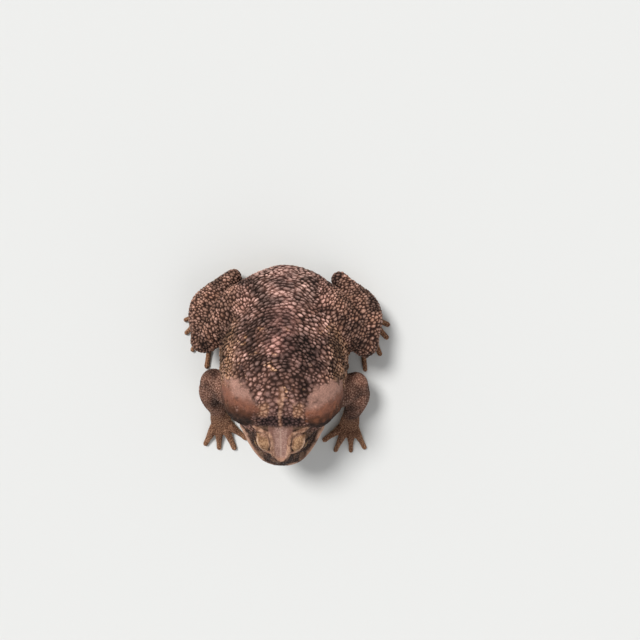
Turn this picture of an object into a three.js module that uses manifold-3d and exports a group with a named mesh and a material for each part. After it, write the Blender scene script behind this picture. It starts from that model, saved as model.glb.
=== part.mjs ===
// A cane toad sitting on the floor, life size. Units are millimetres.
// +X is the toad's left, -Y is ahead of its snout and +Z is up.
// The origin is on the floor, under the middle of the belly's flat.
import * as THREE from "three";
import { ParametricGeometry } from "three/addons/geometries/ParametricGeometry.js";
import { mergeVertices } from "three/addons/utils/BufferGeometryUtils.js";
import Module from "manifold-3d";

const wasm = await Module();
wasm.setup();

// Driving sizes
const BODY_LENGTH = 250; // snout to vent, along the back
const BODY_WIDTH = 156;
const BODY_HEIGHT = 122;
const GAP = 0.3; // between one piece and the next
const WART_HEIGHT = 2.6;
const WART_SPREAD = [0.65, 1.35]; // least and greatest share of that height
const WART_SPACING = 5; // from point to point, below which they shrink

// Trunk, from the rump to the throat: place along the body as a share of its length,
// half width and top as shares of the width and height, underside and widest level in mm
const TRUNK = [
  [-0.38, 0.5, 0.8, 42, 72],
  [-0.32, 0.62, 0.87, 27, 64],
  [-0.25, 0.76, 0.935, 12, 58],
  [-0.18, 0.88, 0.98, 2, 52],
  [-0.1, 0.96, 1.0, -3, 47],
  [0, 1.0, 0.975, -4, 43],
  [0.12, 0.97, 0.895, -4, 39],
  [0.22, 0.88, 0.785, -3, 35],
  [0.34, 0.7, 0.575, 3, 31],
  [0.45, 0.52, 0.4, 10, 29],
];
const RUMP = 0.45 * BODY_LENGTH;
const THROAT = -0.38 * BODY_LENGTH;
const RUMP_ROUNDING = 32;
const THROAT_ROUNDING = 24;
const BACK_SQUARENESS = 2.15; // of the section: 2 is an ellipse and more is squarer
const BELLY_SQUARENESS = 2.7;
const BACK_SHARE = 0.72; // of the points round the trunk
const END_CROWDING = 0.55; // draws the rows of points towards the ends
const BELLY_EDGE = { level: 26, fade: 20 }; // where the warts begin above the belly
const NAPE_EDGE = { y: -72, fade: 8 }; // and behind the head
const SOLE_EDGE = { level: 10, fade: 8 }; // and above the undersides of the legs

// Head, in its own frame: x to the left, y back from the snout's tip, z up from the mouth
const HEAD_LENGTH = 92; // to where it is lost in the neck
const HEAD_PLACE = new THREE.Vector3(0, -125, 75);
const HEAD_PITCH = THREE.MathUtils.degToRad(2);
// Distance back from the tip, then the lips' half width, the canthus' half width and
// height, and the mouth line's level
const SKULL = [
  [0, 12, 3, 9, 1],
  [5, 19.5, 4.5, 14.5, 1],
  [12, 27, 7, 21.5, 0.5],
  [22, 34.5, 9.8, 26, 0],
  [34, 41, 10.8, 30, -0.5],
  [46, 45, 12, 32.5, -1],
  [60, 47, 19, 33.5, -2.5],
  [74, 46, 27, 33, -4],
  [92, 40, 28, 31, -5],
];
// Distance back from the tip, then the jaw's half width and depth
const JAW = [
  [0, 11, 6.5],
  [5, 18.5, 9],
  [12, 26, 13],
  [22, 33.5, 18.5],
  [34, 40, 24.5],
  [46, 44, 30],
  [60, 45.5, 35],
  [74, 44, 38],
  [92, 38, 40],
];
const SNOUT_ROUNDING = 9;
const SNOUT_SQUARENESS = 2.4;
const SNOUT_CROWDING = 1.5; // draws the rows of points towards the snout
const NECK_CLOSING = 0.08; // share of the rows that close the head inside the neck
const MOUTH_GAP = 0.7;
// In the head's frame too. A ball's half sizes run out, along and across.
const EYE = { place: [21, 38.5, 20.8], radius: 10, out: [0.87, -0.42, 0.16] };
const LID = { place: [18.8, 39.5, 20.4], half: [12.6, 14.5, 12], out: [0.87, -0.42, 0.16] };
// Ridges of bone along the brow, behind the eye and before it
const CRESTS = [
  {
    points: [[3.5, 12.5, 20.5], [7.8, 20, 24.2], [10.2, 30, 28.3], [11, 41, 31.6], [14, 52, 32.8]],
    radii: [[0, 1.6, 1.6], [0.3, 2.2, 2], [0.8, 2.6, 2.6], [1, 2.4, 2.2]],
  },
  {
    points: [[14, 52, 32.8], [21, 54.5, 31.8], [27, 55.5, 30.2], [31, 58, 26.5]],
    radii: [[0, 2.4, 2.2], [0.6, 2.8, 2.6], [1, 2, 1.8]],
  },
  {
    points: [[9.6, 26, 26.6], [16.5, 25, 22.2], [23.5, 26.5, 17.2], [29.5, 30, 12.3]],
    radii: [[0, 1.6, 1.6], [0.5, 2, 1.9], [1, 1.2, 1.2]],
  },
];
const LID_OPENING = { reach: 10.4, drop: -2.2, half: [7.2, 9.6, 6.4] };
const EARDRUM = { place: [49.6, 56, 6.5], half: [2, 5, 6], out: [0.8, -0.47, 0.38] };
const NOSTRIL = { place: [9.8, 9.5, 16], half: [2.6, 2.6, 2], out: [0.75, -0.45, 0.48] };
const NECK = { y: -63, z: 75, lean: THREE.MathUtils.degToRad(-4) };

// Parotoid gland, which lies along the shoulder
const GLAND = {
  place: [44, -38, 91],
  half: [22.5, 33, 32],
  out: [0.66, -0.12, 0.74],
  along: [0.38, 0.88, -0.3],
};

// Fore leg, on the toad's left: joints and the fingers' roots
const SHOULDER = [50, -48, 56];
const ELBOW = [88, -34, 42];
const WRIST = [86, -82, 13];
const ARM_SIDE = [0.3, 0.2, 1];
const UPPER_ARM = [[0, 19, 20], [0.5, 18, 19], [1, 14.5, 15]];
const FOREARM = [[0, 15, 15], [0.3, 17, 16.5], [0.65, 13.5, 13], [1, 10.5, 9]];
const PALM_LENGTH = 22;
const PALM = [[0, 9.5, 8], [0.45, 12.5, 7], [1, 13, 5.5]];
const HAND_YAW = 8; // degrees that the middle of the hand turns in from straight ahead
// Each finger: side step from the palm's middle, angle from it in degrees, and length
const FINGERS = [
  [-9.5, -34, 29],
  [-3.5, -10, 32],
  [3, 13, 35],
  [9, 40, 29],
];
const FINGER = [[0, 5.8, 5], [0.3, 5.2, 4.8], [0.6, 4.2, 4], [0.82, 3.6, 3.3], [1, 3.6, 3.1]];

// Hind leg, on the toad's left
const HIP = [26, 74, 40];
const KNEE = [98, 20, 42];
const ANKLE = [66, 94, 19];
const HEEL = [68, 88, 12];
const INSTEP = [97, 44, 8];
const LEG_SIDE = [0.1, 0.1, 1];
const THIGH = [[0, 30, 30], [0.35, 29, 29], [0.7, 23, 24], [1, 17, 18]];
const SHANK = [[0, 16, 16], [0.35, 20, 18.5], [0.7, 14.5, 14], [1, 10, 10]];
const TARSUS = [[0, 9.5, 9.5], [0.5, 9, 8], [1, 13, 7.5]];
const FOOT_YAW = -14; // degrees that the middle of the foot turns out from straight ahead
// Each toe: side step from the instep's middle, angle from it in degrees, and length
const TOES = [
  [-10, -50, 25],
  [-6.5, -29, 37],
  [-1.5, -11, 53],
  [4, 6, 69],
  [9, 25, 46],
];
const TOE = [[0, 5.2, 4.8], [0.3, 4.6, 4.4], [0.65, 3.6, 3.4], [0.85, 3.1, 2.9], [1, 3.2, 2.8]];
const WEB_REACH = 0.5; // share of the shorter toe
const WEB_THICKNESS = 1.8;

const SKIN_BROWN = new THREE.MeshStandardMaterial({ color: 0x5a4034, roughness: 0.62 });
const HEAD_BROWN = new THREE.MeshStandardMaterial({ color: 0x8a6f5c, roughness: 0.55 });
const GLAND_BROWN = new THREE.MeshStandardMaterial({ color: 0x7d503c, roughness: 0.5 });
const DRUM_BROWN = new THREE.MeshStandardMaterial({ color: 0x6b4a3a, roughness: 0.5 });
const EYE_GOLD = new THREE.MeshStandardMaterial({ color: 0x2a1c12, roughness: 0.08 });

const { clamp, degToRad } = THREE.MathUtils;

// Smooth values between the rows of a table whose first column rises
function between(table, x) {
  const last = table.length - 1;
  let k = 0;
  while (k < last - 1 && x > table[k + 1][0]) k += 1;
  const slope = (i, c) => {
    const before = table[Math.max(i - 1, 0)];
    const after = table[Math.min(i + 1, last)];
    return (after[c] - before[c]) / (after[0] - before[0]);
  };
  const span = table[k + 1][0] - table[k][0];
  const t = clamp((x - table[k][0]) / span, 0, 1);
  const s = 1 - t;
  return table[k].map(
    (value, c) =>
      s * s * (1 + 2 * t) * value +
      t * t * (3 - 2 * t) * table[k + 1][c] +
      s * s * t * span * slope(k, c) -
      t * t * s * span * slope(k + 1, c),
  );
}

// How much of its width a form keeps at a distance from its rounded end
function rounding(distance, length, power = 2) {
  const left = clamp(1 - distance / length, 0, 1);
  return Math.pow(1 - Math.pow(left, power), 1 / power);
}

// A number from 0 to 1 that looks random and is the same each time
function scatter(i, j) {
  const value = Math.sin(i * 127.1 + j * 311.7 + 5.3) * 43758.5453;
  return value - Math.floor(value);
}

// A geometry as a solid
function solid(geometry) {
  const bare = new THREE.BufferGeometry();
  bare.setAttribute("position", geometry.getAttribute("position"));
  bare.setIndex(geometry.index);
  const merged = mergeVertices(bare, 1e-3);
  const triVerts = [];
  for (let i = 0; i < merged.index.count; i += 3) {
    const [a, b, c] = [0, 1, 2].map((k) => merged.index.getX(i + k));
    if (a !== b && b !== c && c !== a) triVerts.push(a, b, c);
  }
  const make = (order) =>
    new wasm.Manifold(
      new wasm.Mesh({
        numProp: 3,
        vertProperties: new Float32Array(merged.attributes.position.array),
        triVerts: new Uint32Array(order),
      }),
    );
  const made = make(triVerts);
  return made.volume() > 0 ? made : make(triVerts.reverse());
}

// A closed skin over a surface whose u runs round it and v along it, u anticlockwise for
// one who looks back along v. Its points stand in staggered rows, and every third point is
// the tip of a wart.
function skin(columns, rows, surface, grow = 0, wart = () => 0) {
  const step = 1e-3;
  const alongU = new THREE.Vector3();
  const alongV = new THREE.Vector3();
  const other = new THREE.Vector3();
  const point = (u, v, target) => {
    const i = Math.round(v * rows);
    const j = Math.round(u * columns) % columns;
    const end = i === 0 || i === rows;
    const turn = (j + 0.5 * i) / columns;
    surface(turn, v, target);
    const inner = clamp(v, 2 * step, 1 - 2 * step);
    surface(turn + step, inner, alongU);
    alongU.sub(surface(turn - step, inner, other));
    surface(turn, inner + step, alongV);
    alongV.sub(surface(turn, inner - step, other));
    const room = Math.min(1, alongU.length() / (2 * step * columns * WART_SPACING)) ** 2;
    const normal = alongU.cross(alongV).normalize();
    const tip = !end && (j - i + 3 * rows) % 3 === 0;
    const share = WART_SPREAD[0] + (WART_SPREAD[1] - WART_SPREAD[0]) * scatter(i, j);
    const height = tip ? wart(target) * room * share : 0;
    if (!end) target.addScaledVector(normal, grow + height);
    return target;
  };
  return solid(new ParametricGeometry((u, v, target) => void point(u, v, target), columns, rows));
}

const vector = (a) => new THREE.Vector3(a[0], a[1], a[2]);

// A limb along a bent line, with round ends: radii are [share of length, across, deep]
function limb(points, radii, side, columns, rows, grow = 0, wart = () => 0) {
  const curve = new THREE.CatmullRomCurve3(points.map(vector), false, "centripetal");
  const length = curve.getLength();
  const first = radii[0][1];
  const final = radii[radii.length - 1][1];
  const arc = Math.PI / 2;
  const total = arc * first + length + arc * final;
  const surface = (u, v, target) => {
    const d = v * total;
    let t = clamp((d - arc * first) / length, 0, 1);
    let turn = arc;
    let shift = 0;
    if (d < arc * first) {
      turn = d / first;
      shift = -first * Math.cos(turn);
    } else if (d > arc * first + length) {
      turn = (total - d) / final;
      shift = final * Math.cos(turn);
    }
    const [, across, deep] = between(radii, t);
    const tangent = curve.getTangentAt(t);
    const high = vector(side).addScaledVector(tangent, -vector(side).dot(tangent)).normalize();
    const wide = new THREE.Vector3().crossVectors(tangent, high);
    const angle = -2 * Math.PI * u;
    return target
      .copy(curve.getPointAt(t))
      .addScaledVector(tangent, shift)
      .addScaledVector(wide, across * Math.cos(angle) * Math.sin(turn))
      .addScaledVector(high, deep * Math.sin(angle) * Math.sin(turn));
  };
  return skin(columns, rows, surface, grow, wart);
}

// A box from one corner to the other
function box(low, high) {
  const size = high.map((h, i) => h - low[i]);
  const middle = high.map((h, i) => (h + low[i]) / 2);
  return solid(new THREE.BoxGeometry(...size).translate(...middle));
}

// A stretched ball, whose half sizes run out, along and across
function ball({ place, half, out = [1, 0, 0], along = [0, 1, 0] }, detail, grow = 0) {
  const x = vector(out).normalize();
  const y = vector(along).addScaledVector(x, -vector(along).dot(x)).normalize();
  const turned = new THREE.Matrix4().makeBasis(x, y, x.clone().cross(y));
  const shape = new THREE.IcosahedronGeometry(1, detail);
  shape.scale(...half.map((h) => h + grow));
  return solid(shape.applyMatrix4(turned).translate(...place));
}

const FLOOR = box([-300, -300, -60], [300, 300, 0]);

// The solid of a left-hand piece, mirrored to the right
const onRight = (piece) => piece.mirror([1, 0, 0]);

// Trunk
function trunkPoint(u, v, target) {
  const eased = v - (END_CROWDING * Math.sin(2 * Math.PI * v)) / (2 * Math.PI);
  const y = RUMP + (THROAT - RUMP) * eased;
  const [, wide, high, under, widest] = between(TRUNK, y / BODY_LENGTH);
  const keep = rounding(RUMP - y, RUMP_ROUNDING) * rounding(y - THROAT, THROAT_ROUNDING);
  const top = high * BODY_HEIGHT;
  const half = (wide * BODY_WIDTH) / 2;
  const turn = u - Math.floor(u);
  const side = (1 - BACK_SHARE) / 2;
  let angle = 0;
  if (turn < side) angle = (-Math.PI / 2) * (1 - turn / side);
  else if (turn > 1 - side) angle = Math.PI + (Math.PI / 2) * ((turn - 1 + side) / side);
  else angle = (Math.PI * (turn - side)) / BACK_SHARE;
  const back = angle > 0 && angle < Math.PI;
  const power = 2 / (back ? BACK_SQUARENESS : BELLY_SQUARENESS);
  const bend = (value) => Math.sign(value) * Math.pow(Math.abs(value), power);
  const reach = back ? top - widest : widest - under;
  return target.set(
    half * bend(Math.cos(angle)) * keep,
    y,
    widest + reach * bend(Math.sin(angle)) * keep,
  );
}

function trunkWart(p) {
  const level = clamp((p.z - BELLY_EDGE.level) / BELLY_EDGE.fade, 0, 1);
  const nape = clamp((p.y - NAPE_EDGE.y) / NAPE_EDGE.fade, 0, 1);
  return WART_HEIGHT * level * nape;
}

const trunk = (grow = 0) => skin(48, 40, trunkPoint, grow, trunkWart);

// What lies ahead of the neck's cut
function aheadOfNeck(offset) {
  const block = new THREE.BoxGeometry(400, 200, 400).translate(0, -100 + offset, 0);
  return solid(block.rotateX(NECK.lean).translate(0, NECK.y, NECK.z));
}

// Head
const toHead = new THREE.Matrix4()
  .makeRotationX(HEAD_PITCH)
  .setPosition(HEAD_PLACE);
const inHead = (place) => vector(place).applyMatrix4(toHead).toArray();
const headBall = (form, detail, grow) => ball({ ...form, place: inHead(form.place) }, detail, grow);

// A point on the half outline of the skull's section, from its middle below to its middle above
function skullOutline(w, lip, canthus, top, mouth) {
  const knots = [
    [0, 0, mouth],
    [0.16, lip * 0.6, mouth],
    [0.27, lip - 1.2, mouth + 0.2],
    [0.33, lip, mouth + 2.6],
    [0.42, lip - 1.2, mouth + 6.5],
    [0.58, canthus + 0.5 * (lip - canthus), mouth + 0.6 * (top - mouth)],
    [0.75, canthus + 2.5, top - 1.6],
    [0.82, canthus - 0.5, top],
    [1, 0, top - 1.4],
  ];
  return between(knots, w);
}

function jawOutline(w, half, depth, mouth) {
  const knots = [
    [0, 0, mouth],
    [0.3, half - 1.5, mouth],
    [0.38, half, mouth - 2.5],
    [0.6, half * 0.86, mouth - 0.55 * depth],
    [0.8, half * 0.5, mouth - 0.92 * depth],
    [1, 0, mouth - depth],
  ];
  return between(knots, w);
}

function headPoint(outline, middle) {
  const local = new THREE.Vector3();
  return (u, v, target) => {
    const closing = clamp((1 - v) / NECK_CLOSING, 0, 1);
    const y = HEAD_LENGTH * Math.pow(clamp(v / (1 - NECK_CLOSING), 0, 1), SNOUT_CROWDING);
    const turn = u - Math.floor(u);
    const right = turn < 0.5;
    const [, x, z] = outline(right ? 2 * turn : 2 - 2 * turn, y);
    const keep = rounding(y, SNOUT_ROUNDING, SNOUT_SQUARENESS) * Math.sqrt(closing);
    local.set((right ? -1 : 1) * x * keep, y, middle + (z - middle) * keep);
    return target.copy(local.applyMatrix4(toHead));
  };
}

// The staggered rows are undone here, so that the head's two sides match
function evenSkin(columns, rows, surface, grow) {
  return skin(columns, rows, (u, v, p) => surface(u - (0.5 * Math.round(v * rows)) / columns, v, p), grow);
}

function skull(grow = 0) {
  const outline = (w, y) => {
    const [, lip, canthus, top, mouth] = between(SKULL, y);
    return skullOutline(w, lip, canthus, top, mouth);
  };
  return evenSkin(30, 19, headPoint(outline, 8), grow);
}

function jaw(grow = 0) {
  const outline = (w, y) => {
    const [, half, depth] = between(JAW, y);
    return jawOutline(w, half, depth, between(SKULL, y)[4]);
  };
  return evenSkin(18, 14, headPoint(outline, -4), grow);
}

// The thin space between the lips, carried back to the neck
function mouthLine() {
  const shape = new THREE.Shape();
  const rows = SKULL.map((row) => [row[0], row[4]]);
  rows[0][0] = -20;
  shape.moveTo(rows[0][0], rows[0][1] - MOUTH_GAP / 2);
  rows.slice(1).forEach(([y, z]) => shape.lineTo(y, z - MOUTH_GAP / 2));
  rows.reverse().forEach(([y, z]) => shape.lineTo(y, z + MOUTH_GAP / 2));
  const sheet = new THREE.ExtrudeGeometry(shape, { depth: 160, bevelEnabled: false });
  sheet.translate(0, 0, -80);
  sheet.applyMatrix4(new THREE.Matrix4().set(0, 0, 1, 0, 1, 0, 0, 0, 0, 1, 0, 0, 0, 0, 0, 1));
  return solid(sheet.applyMatrix4(toHead));
}

// A low ridge of bone along a line on the head
const crest = ({ points, radii }, grow) => limb(points.map(inHead), radii, [0, 0, 1], 6, 9, grow);

const crests = (grow = 0) => wasm.Manifold.union(CRESTS.map((line) => crest(line, grow)));

const eyeball = (grow) => headBall({ ...EYE, half: [EYE.radius, EYE.radius, EYE.radius] }, 2, grow);
const lid = (grow) => headBall(LID, 2, grow);
const eardrum = (grow) => headBall(EARDRUM, 1, grow);
const nostril = () => headBall(NOSTRIL, 0);

// The eyelids' opening
function lidOpening() {
  const place = EYE.place.map((c, i) => c + EYE.out[i] * LID_OPENING.reach);
  place[2] += LID_OPENING.drop;
  return headBall({ place, half: LID_OPENING.half, out: EYE.out }, 1);
}

const both = (piece) => piece.add(onRight(piece));

// Largest closed surface of a piece
function whole(piece) {
  const bodies = piece.decompose();
  return bodies.reduce((best, body) => (body.volume() > best.volume() ? body : best));
}

const gland = (grow) => ball(GLAND, 3, grow);

// Legs
const limbWart = (share) => (p) =>
  share * WART_HEIGHT * clamp((p.z - SOLE_EDGE.level) / SOLE_EDGE.fade, 0, 1);

const upperArm = (grow = 0) =>
  limb([SHOULDER, [71, -40, 51], ELBOW], UPPER_ARM, ARM_SIDE, 12, 9, grow, limbWart(0.45));
const forearm = (grow = 0) =>
  limb([ELBOW, [91, -58, 28], WRIST], FOREARM, ARM_SIDE, 12, 11, grow, limbWart(0.45));
const thigh = (grow = 0) =>
  limb([HIP, [66, 50, 44], KNEE], THIGH, LEG_SIDE, 18, 18, grow, limbWart(0.8));
const shank = (grow = 0) =>
  limb([KNEE, [96, 62, 36], ANKLE], SHANK, LEG_SIDE, 15, 18, grow, limbWart(0.75));

// A digit that rises over its knuckle and comes down to its tip
function digit(root, yaw, length, radii, lift) {
  const along = [-Math.sin(yaw), -Math.cos(yaw)];
  const at = (share, z) => [root[0] + along[0] * length * share, root[1] + along[1] * length * share, z];
  return limb([at(-0.12, lift), at(0.25, lift + 1), at(0.6, lift * 0.75), at(1, 2)], radii, [0, 0, 1], 6, 8);
}

// The roots of a fan of digits, each with its side step, angle and length
function fan(middle, yaw, digits) {
  return digits.map(([step, angle, length]) => ({
    root: [middle[0] + step * -Math.cos(yaw), middle[1] + step * Math.sin(yaw)],
    yaw: yaw + degToRad(angle),
    length,
  }));
}

function hand(grow = 0) {
  const yaw = degToRad(HAND_YAW);
  const middle = [WRIST[0] - Math.sin(yaw) * PALM_LENGTH, WRIST[1] - Math.cos(yaw) * PALM_LENGTH, 5.5];
  const palm = limb([WRIST, [(WRIST[0] + middle[0]) / 2, (WRIST[1] + middle[1]) / 2, 8.5], middle],
    PALM, [0, 0, 1], 10, 7, grow);
  const fingers = fan(middle, yaw, FINGERS).map((f) => digit(f.root, f.yaw, f.length, FINGER, 5));
  return wasm.Manifold.union([palm, ...fingers]).subtract(FLOOR);
}

// A web between two toes, with a hollow edge
function web(a, b) {
  const reach = WEB_REACH * Math.min(a.length, b.length);
  const tip = (toe, share) => [
    toe.root[0] - Math.sin(toe.yaw) * reach * share,
    toe.root[1] - Math.cos(toe.yaw) * reach * share,
  ];
  const shape = new THREE.Shape();
  shape.moveTo(...tip(a, -0.3));
  shape.lineTo(...tip(a, 1.25));
  const inner = [0, 1].map((k) => (tip(a, 0.55)[k] + tip(b, 0.55)[k]) / 2);
  shape.quadraticCurveTo(...inner, ...tip(b, 1.25));
  shape.lineTo(...tip(b, -0.3));
  const sheet = new THREE.ExtrudeGeometry(shape, {
    depth: WEB_THICKNESS,
    bevelEnabled: false,
    curveSegments: 5,
  });
  return solid(sheet.translate(0, 0, 1.1));
}

function foot(grow = 0) {
  const yaw = degToRad(FOOT_YAW);
  const tarsus = limb([HEEL, [84, 66, 12], INSTEP], TARSUS, [0, 0, 1], 10, 8, grow);
  const roots = fan(INSTEP, yaw, TOES);
  const toes = roots.map((t) => digit(t.root, t.yaw, t.length, TOE, 5));
  const webs = roots.slice(1).map((t, i) => web(roots[i], t));
  return wasm.Manifold.union([tarsus, ...toes, ...webs]).subtract(FLOOR);
}

// Every piece, cut clear of those that it meets
function pieces() {
  const headWhole = wasm.Manifold.union([skull(), jaw(), trunk(), both(crests().add(lid()))]);
  const halves = headWhole.intersect(aheadOfNeck(-GAP)).subtract(mouthLine()).decompose();
  halves.sort((a, b) => b.volume() - a.volume());
  const level = (half) => half.boundingBox().min[2];
  const [lower, upper] = halves.slice(0, 2).sort((a, b) => level(a) - level(b));
  const headGrown = wasm.Manifold.union([skull(GAP), jaw(GAP), both(crests(GAP).add(lid(GAP)))]);
  const body = trunk(GAP).add(headGrown);
  const made = {};
  made.torso = trunk().subtract(aheadOfNeck(0)).subtract(FLOOR);
  const openings = both(wasm.Manifold.union([eyeball(GAP), lidOpening(), nostril(), eardrum(GAP)]));
  made.head = upper.subtract(openings);
  made.lower_jaw = lower.subtract(FLOOR);
  const facing = { eye: eyeball(), eardrum: eardrum() };
  const rooted = {
    parotoid_gland: gland().subtract(eardrum(GAP)),
    upper_arm: upperArm().subtract(gland(GAP)),
    forearm: forearm().subtract(upperArm(GAP)).subtract(gland(GAP)).subtract(FLOOR),
    hand: hand().subtract(forearm(GAP)),
    thigh: thigh(),
    shank: shank().subtract(thigh(GAP)),
    foot: foot().subtract(shank(GAP)).subtract(thigh(GAP)),
  };
  for (const [name, piece] of Object.entries(facing)) {
    made[name + "_left"] = piece;
    made[name + "_right"] = onRight(piece);
  }
  for (const [name, piece] of Object.entries(rooted)) {
    made[name + "_left"] = piece.subtract(body);
    made[name + "_right"] = onRight(piece).subtract(body);
  }
  return made;
}

const FINISH = {
  torso: SKIN_BROWN,
  head: HEAD_BROWN,
  lower_jaw: HEAD_BROWN,
  eye: EYE_GOLD,
  eardrum: DRUM_BROWN,
  parotoid_gland: GLAND_BROWN,
};

// A solid as a mesh of the scene
function mesh(name, piece) {
  const { vertProperties, triVerts } = whole(piece).getMesh();
  const geometry = new THREE.BufferGeometry();
  geometry.setAttribute("position", new THREE.BufferAttribute(new Float32Array(vertProperties), 3));
  geometry.setIndex(new THREE.BufferAttribute(new Uint32Array(triVerts), 1));
  geometry.computeVertexNormals();
  const made = new THREE.Mesh(geometry, FINISH[name.replace(/_(left|right)$/, "")] ?? SKIN_BROWN);
  made.name = name;
  return made;
}

const toad = new THREE.Group();
for (const [name, piece] of Object.entries(pieces())) toad.add(mesh(name, piece));

export default toad;
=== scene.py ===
# A cane toad sitting on the floor, life size. Forms are worked out in millimetres and made
# in metres. +X is the toad's left, -Y is ahead of its snout and +Z is up.
import math
from types import SimpleNamespace

import bpy
import numpy as np
import openvdb as vdb
from mathutils import Matrix, Vector, kdtree


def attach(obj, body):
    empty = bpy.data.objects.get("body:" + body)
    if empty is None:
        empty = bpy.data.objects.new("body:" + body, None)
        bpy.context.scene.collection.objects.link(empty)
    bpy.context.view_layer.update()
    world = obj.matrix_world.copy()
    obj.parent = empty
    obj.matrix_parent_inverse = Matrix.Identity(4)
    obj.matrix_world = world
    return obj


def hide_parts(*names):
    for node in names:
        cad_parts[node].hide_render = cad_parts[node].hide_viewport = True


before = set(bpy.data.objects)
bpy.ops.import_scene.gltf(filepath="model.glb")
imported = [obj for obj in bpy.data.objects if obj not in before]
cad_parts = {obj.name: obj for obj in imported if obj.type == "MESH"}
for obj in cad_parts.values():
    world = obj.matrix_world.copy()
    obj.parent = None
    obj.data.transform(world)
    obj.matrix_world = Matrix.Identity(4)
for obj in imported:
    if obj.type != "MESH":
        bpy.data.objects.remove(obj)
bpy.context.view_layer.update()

MM = 0.001
SEED = 20
LUMP_GRID = (32, 32, 32)  # of random values, which repeats beyond its size
LUMP_START = 100.5

# Driving sizes
BODY_LENGTH = 250  # snout to vent, along the back
BODY_WIDTH = 156
BODY_HEIGHT = 122

# Trunk, from the rump to the throat: place along the body as a share of its length,
# half width and top as shares of the width and height, underside and widest level in mm
TRUNK = [
    [-0.38, 0.5, 0.8, 42, 72],
    [-0.32, 0.62, 0.87, 27, 64],
    [-0.25, 0.76, 0.935, 12, 58],
    [-0.18, 0.88, 0.98, 2, 52],
    [-0.1, 0.96, 1.0, -3, 47],
    [0, 1.0, 0.975, -4, 43],
    [0.12, 0.97, 0.895, -4, 39],
    [0.22, 0.88, 0.785, -3, 35],
    [0.34, 0.7, 0.575, 3, 31],
    [0.45, 0.52, 0.4, 10, 29],
]
RUMP = 0.45 * BODY_LENGTH
THROAT = -0.38 * BODY_LENGTH
RUMP_ROUNDING = 32
THROAT_ROUNDING = 24
BACK_SQUARENESS = 2.15  # of the section: 2 is an ellipse and more is squarer
BELLY_SQUARENESS = 2.7
BACK_SHARE = 0.72  # of the points round the trunk

# Head, in its own frame: x to the left, y back from the snout's tip, z up from the mouth
HEAD_LENGTH = 92
HEAD_PLACE = np.array([0, -125, 75])
HEAD_PITCH = math.radians(2)
# Distance back from the tip, then the lips' half width, the canthus' half width and
# height, and the mouth line's level
SKULL = [
    [0, 12, 3, 9, 1],
    [5, 19.5, 4.5, 14.5, 1],
    [12, 27, 7, 21.5, 0.5],
    [22, 34.5, 9.8, 26, 0],
    [34, 41, 10.8, 30, -0.5],
    [46, 45, 12, 32.5, -1],
    [60, 47, 19, 33.5, -2.5],
    [74, 46, 27, 33, -4],
    [92, 40, 28, 31, -5],
]
# Distance back from the tip, then the jaw's half width and depth
JAW = [
    [0, 11, 6.5],
    [5, 18.5, 9],
    [12, 26, 13],
    [22, 33.5, 18.5],
    [34, 40, 24.5],
    [46, 44, 30],
    [60, 45.5, 35],
    [74, 44, 38],
    [92, 38, 40],
]
SNOUT_ROUNDING = 9
SNOUT_SQUARENESS = 2.4
SNOUT_CROWDING = 1.5  # of the rings of points towards the tip
SKULL_MIDDLE = 8  # level that the snout rounds in to
JAW_MIDDLE = -4
NECK_CLOSING = 0.08
EYE = {"place": [21, 38.5, 20.8], "radius": 10, "out": [0.87, -0.42, 0.16]}
LID = {"place": [18.8, 39.5, 20.4], "half": [12.6, 14.5, 12], "out": [0.87, -0.42, 0.16]}
# Head's bare plate: distance back from the tip, then half width
PLATE = [[0, 0], [9, 0.4], [13, 3.4], [19, 7.2], [26, 9.2], [36, 9.8], [47, 11.5], [56, 14], [92, 14]]
# The upper lid and the corner of bone behind it, seen from above: distance back from the
# tip, then the inner and outer edges
LID_PATCH = [
    [25.5, 17.4, 17.6],
    [27.5, 15.4, 20.5],
    [31, 14, 24.8],
    [35, 13.5, 27.2],
    [39, 13.6, 28.6],
    [43, 14.2, 28.6],
    [47, 15.2, 28.4],
    [51.5, 16.5, 29.2],
    [55, 21.5, 30.6],
    [58.5, 27.5, 30.4],
]
LID_OPENING = {"reach": 10.4, "drop": -2.2, "half": [7.2, 9.6, 6.4]}
EARDRUM = {"place": [49.6, 56, 6.5], "half": [2, 5, 6], "out": [0.8, -0.47, 0.38]}
MOUTH_CORNER = 62  # how far back the mouth line runs
NOSTRIL = {"place": [9.8, 9.5, 16], "out": [0.75, -0.45, 0.48]}
# Ridges of bone along the brow, behind the eye and before it
CRESTS = [
    {
        "points": [[3.5, 12.5, 20.5], [7.8, 20, 24.2], [10.2, 30, 28.3], [11, 41, 31.6], [14, 52, 32.8]],
        "radii": [[0, 1.6, 1.6], [0.3, 2.2, 2], [0.8, 2.6, 2.6], [1, 2.4, 2.2]],
    },
    {
        "points": [[14, 52, 32.8], [21, 54.5, 31.8], [27, 55.5, 30.2], [31, 58, 26.5]],
        "radii": [[0, 2.4, 2.2], [0.6, 2.8, 2.6], [1, 2, 1.8]],
    },
    {
        "points": [[9.6, 26, 26.6], [16.5, 25, 22.2], [23.5, 26.5, 17.2], [29.5, 30, 12.3]],
        "radii": [[0, 1.6, 1.6], [0.5, 2, 1.9], [1, 1.2, 1.2]],
    },
]

# Parotoid gland, which lies along the shoulder
GLAND = {
    "place": [44, -38, 91],
    "half": [22.5, 33, 32],
    "out": [0.66, -0.12, 0.74],
    "along": [0.38, 0.88, -0.3],
}

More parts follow.
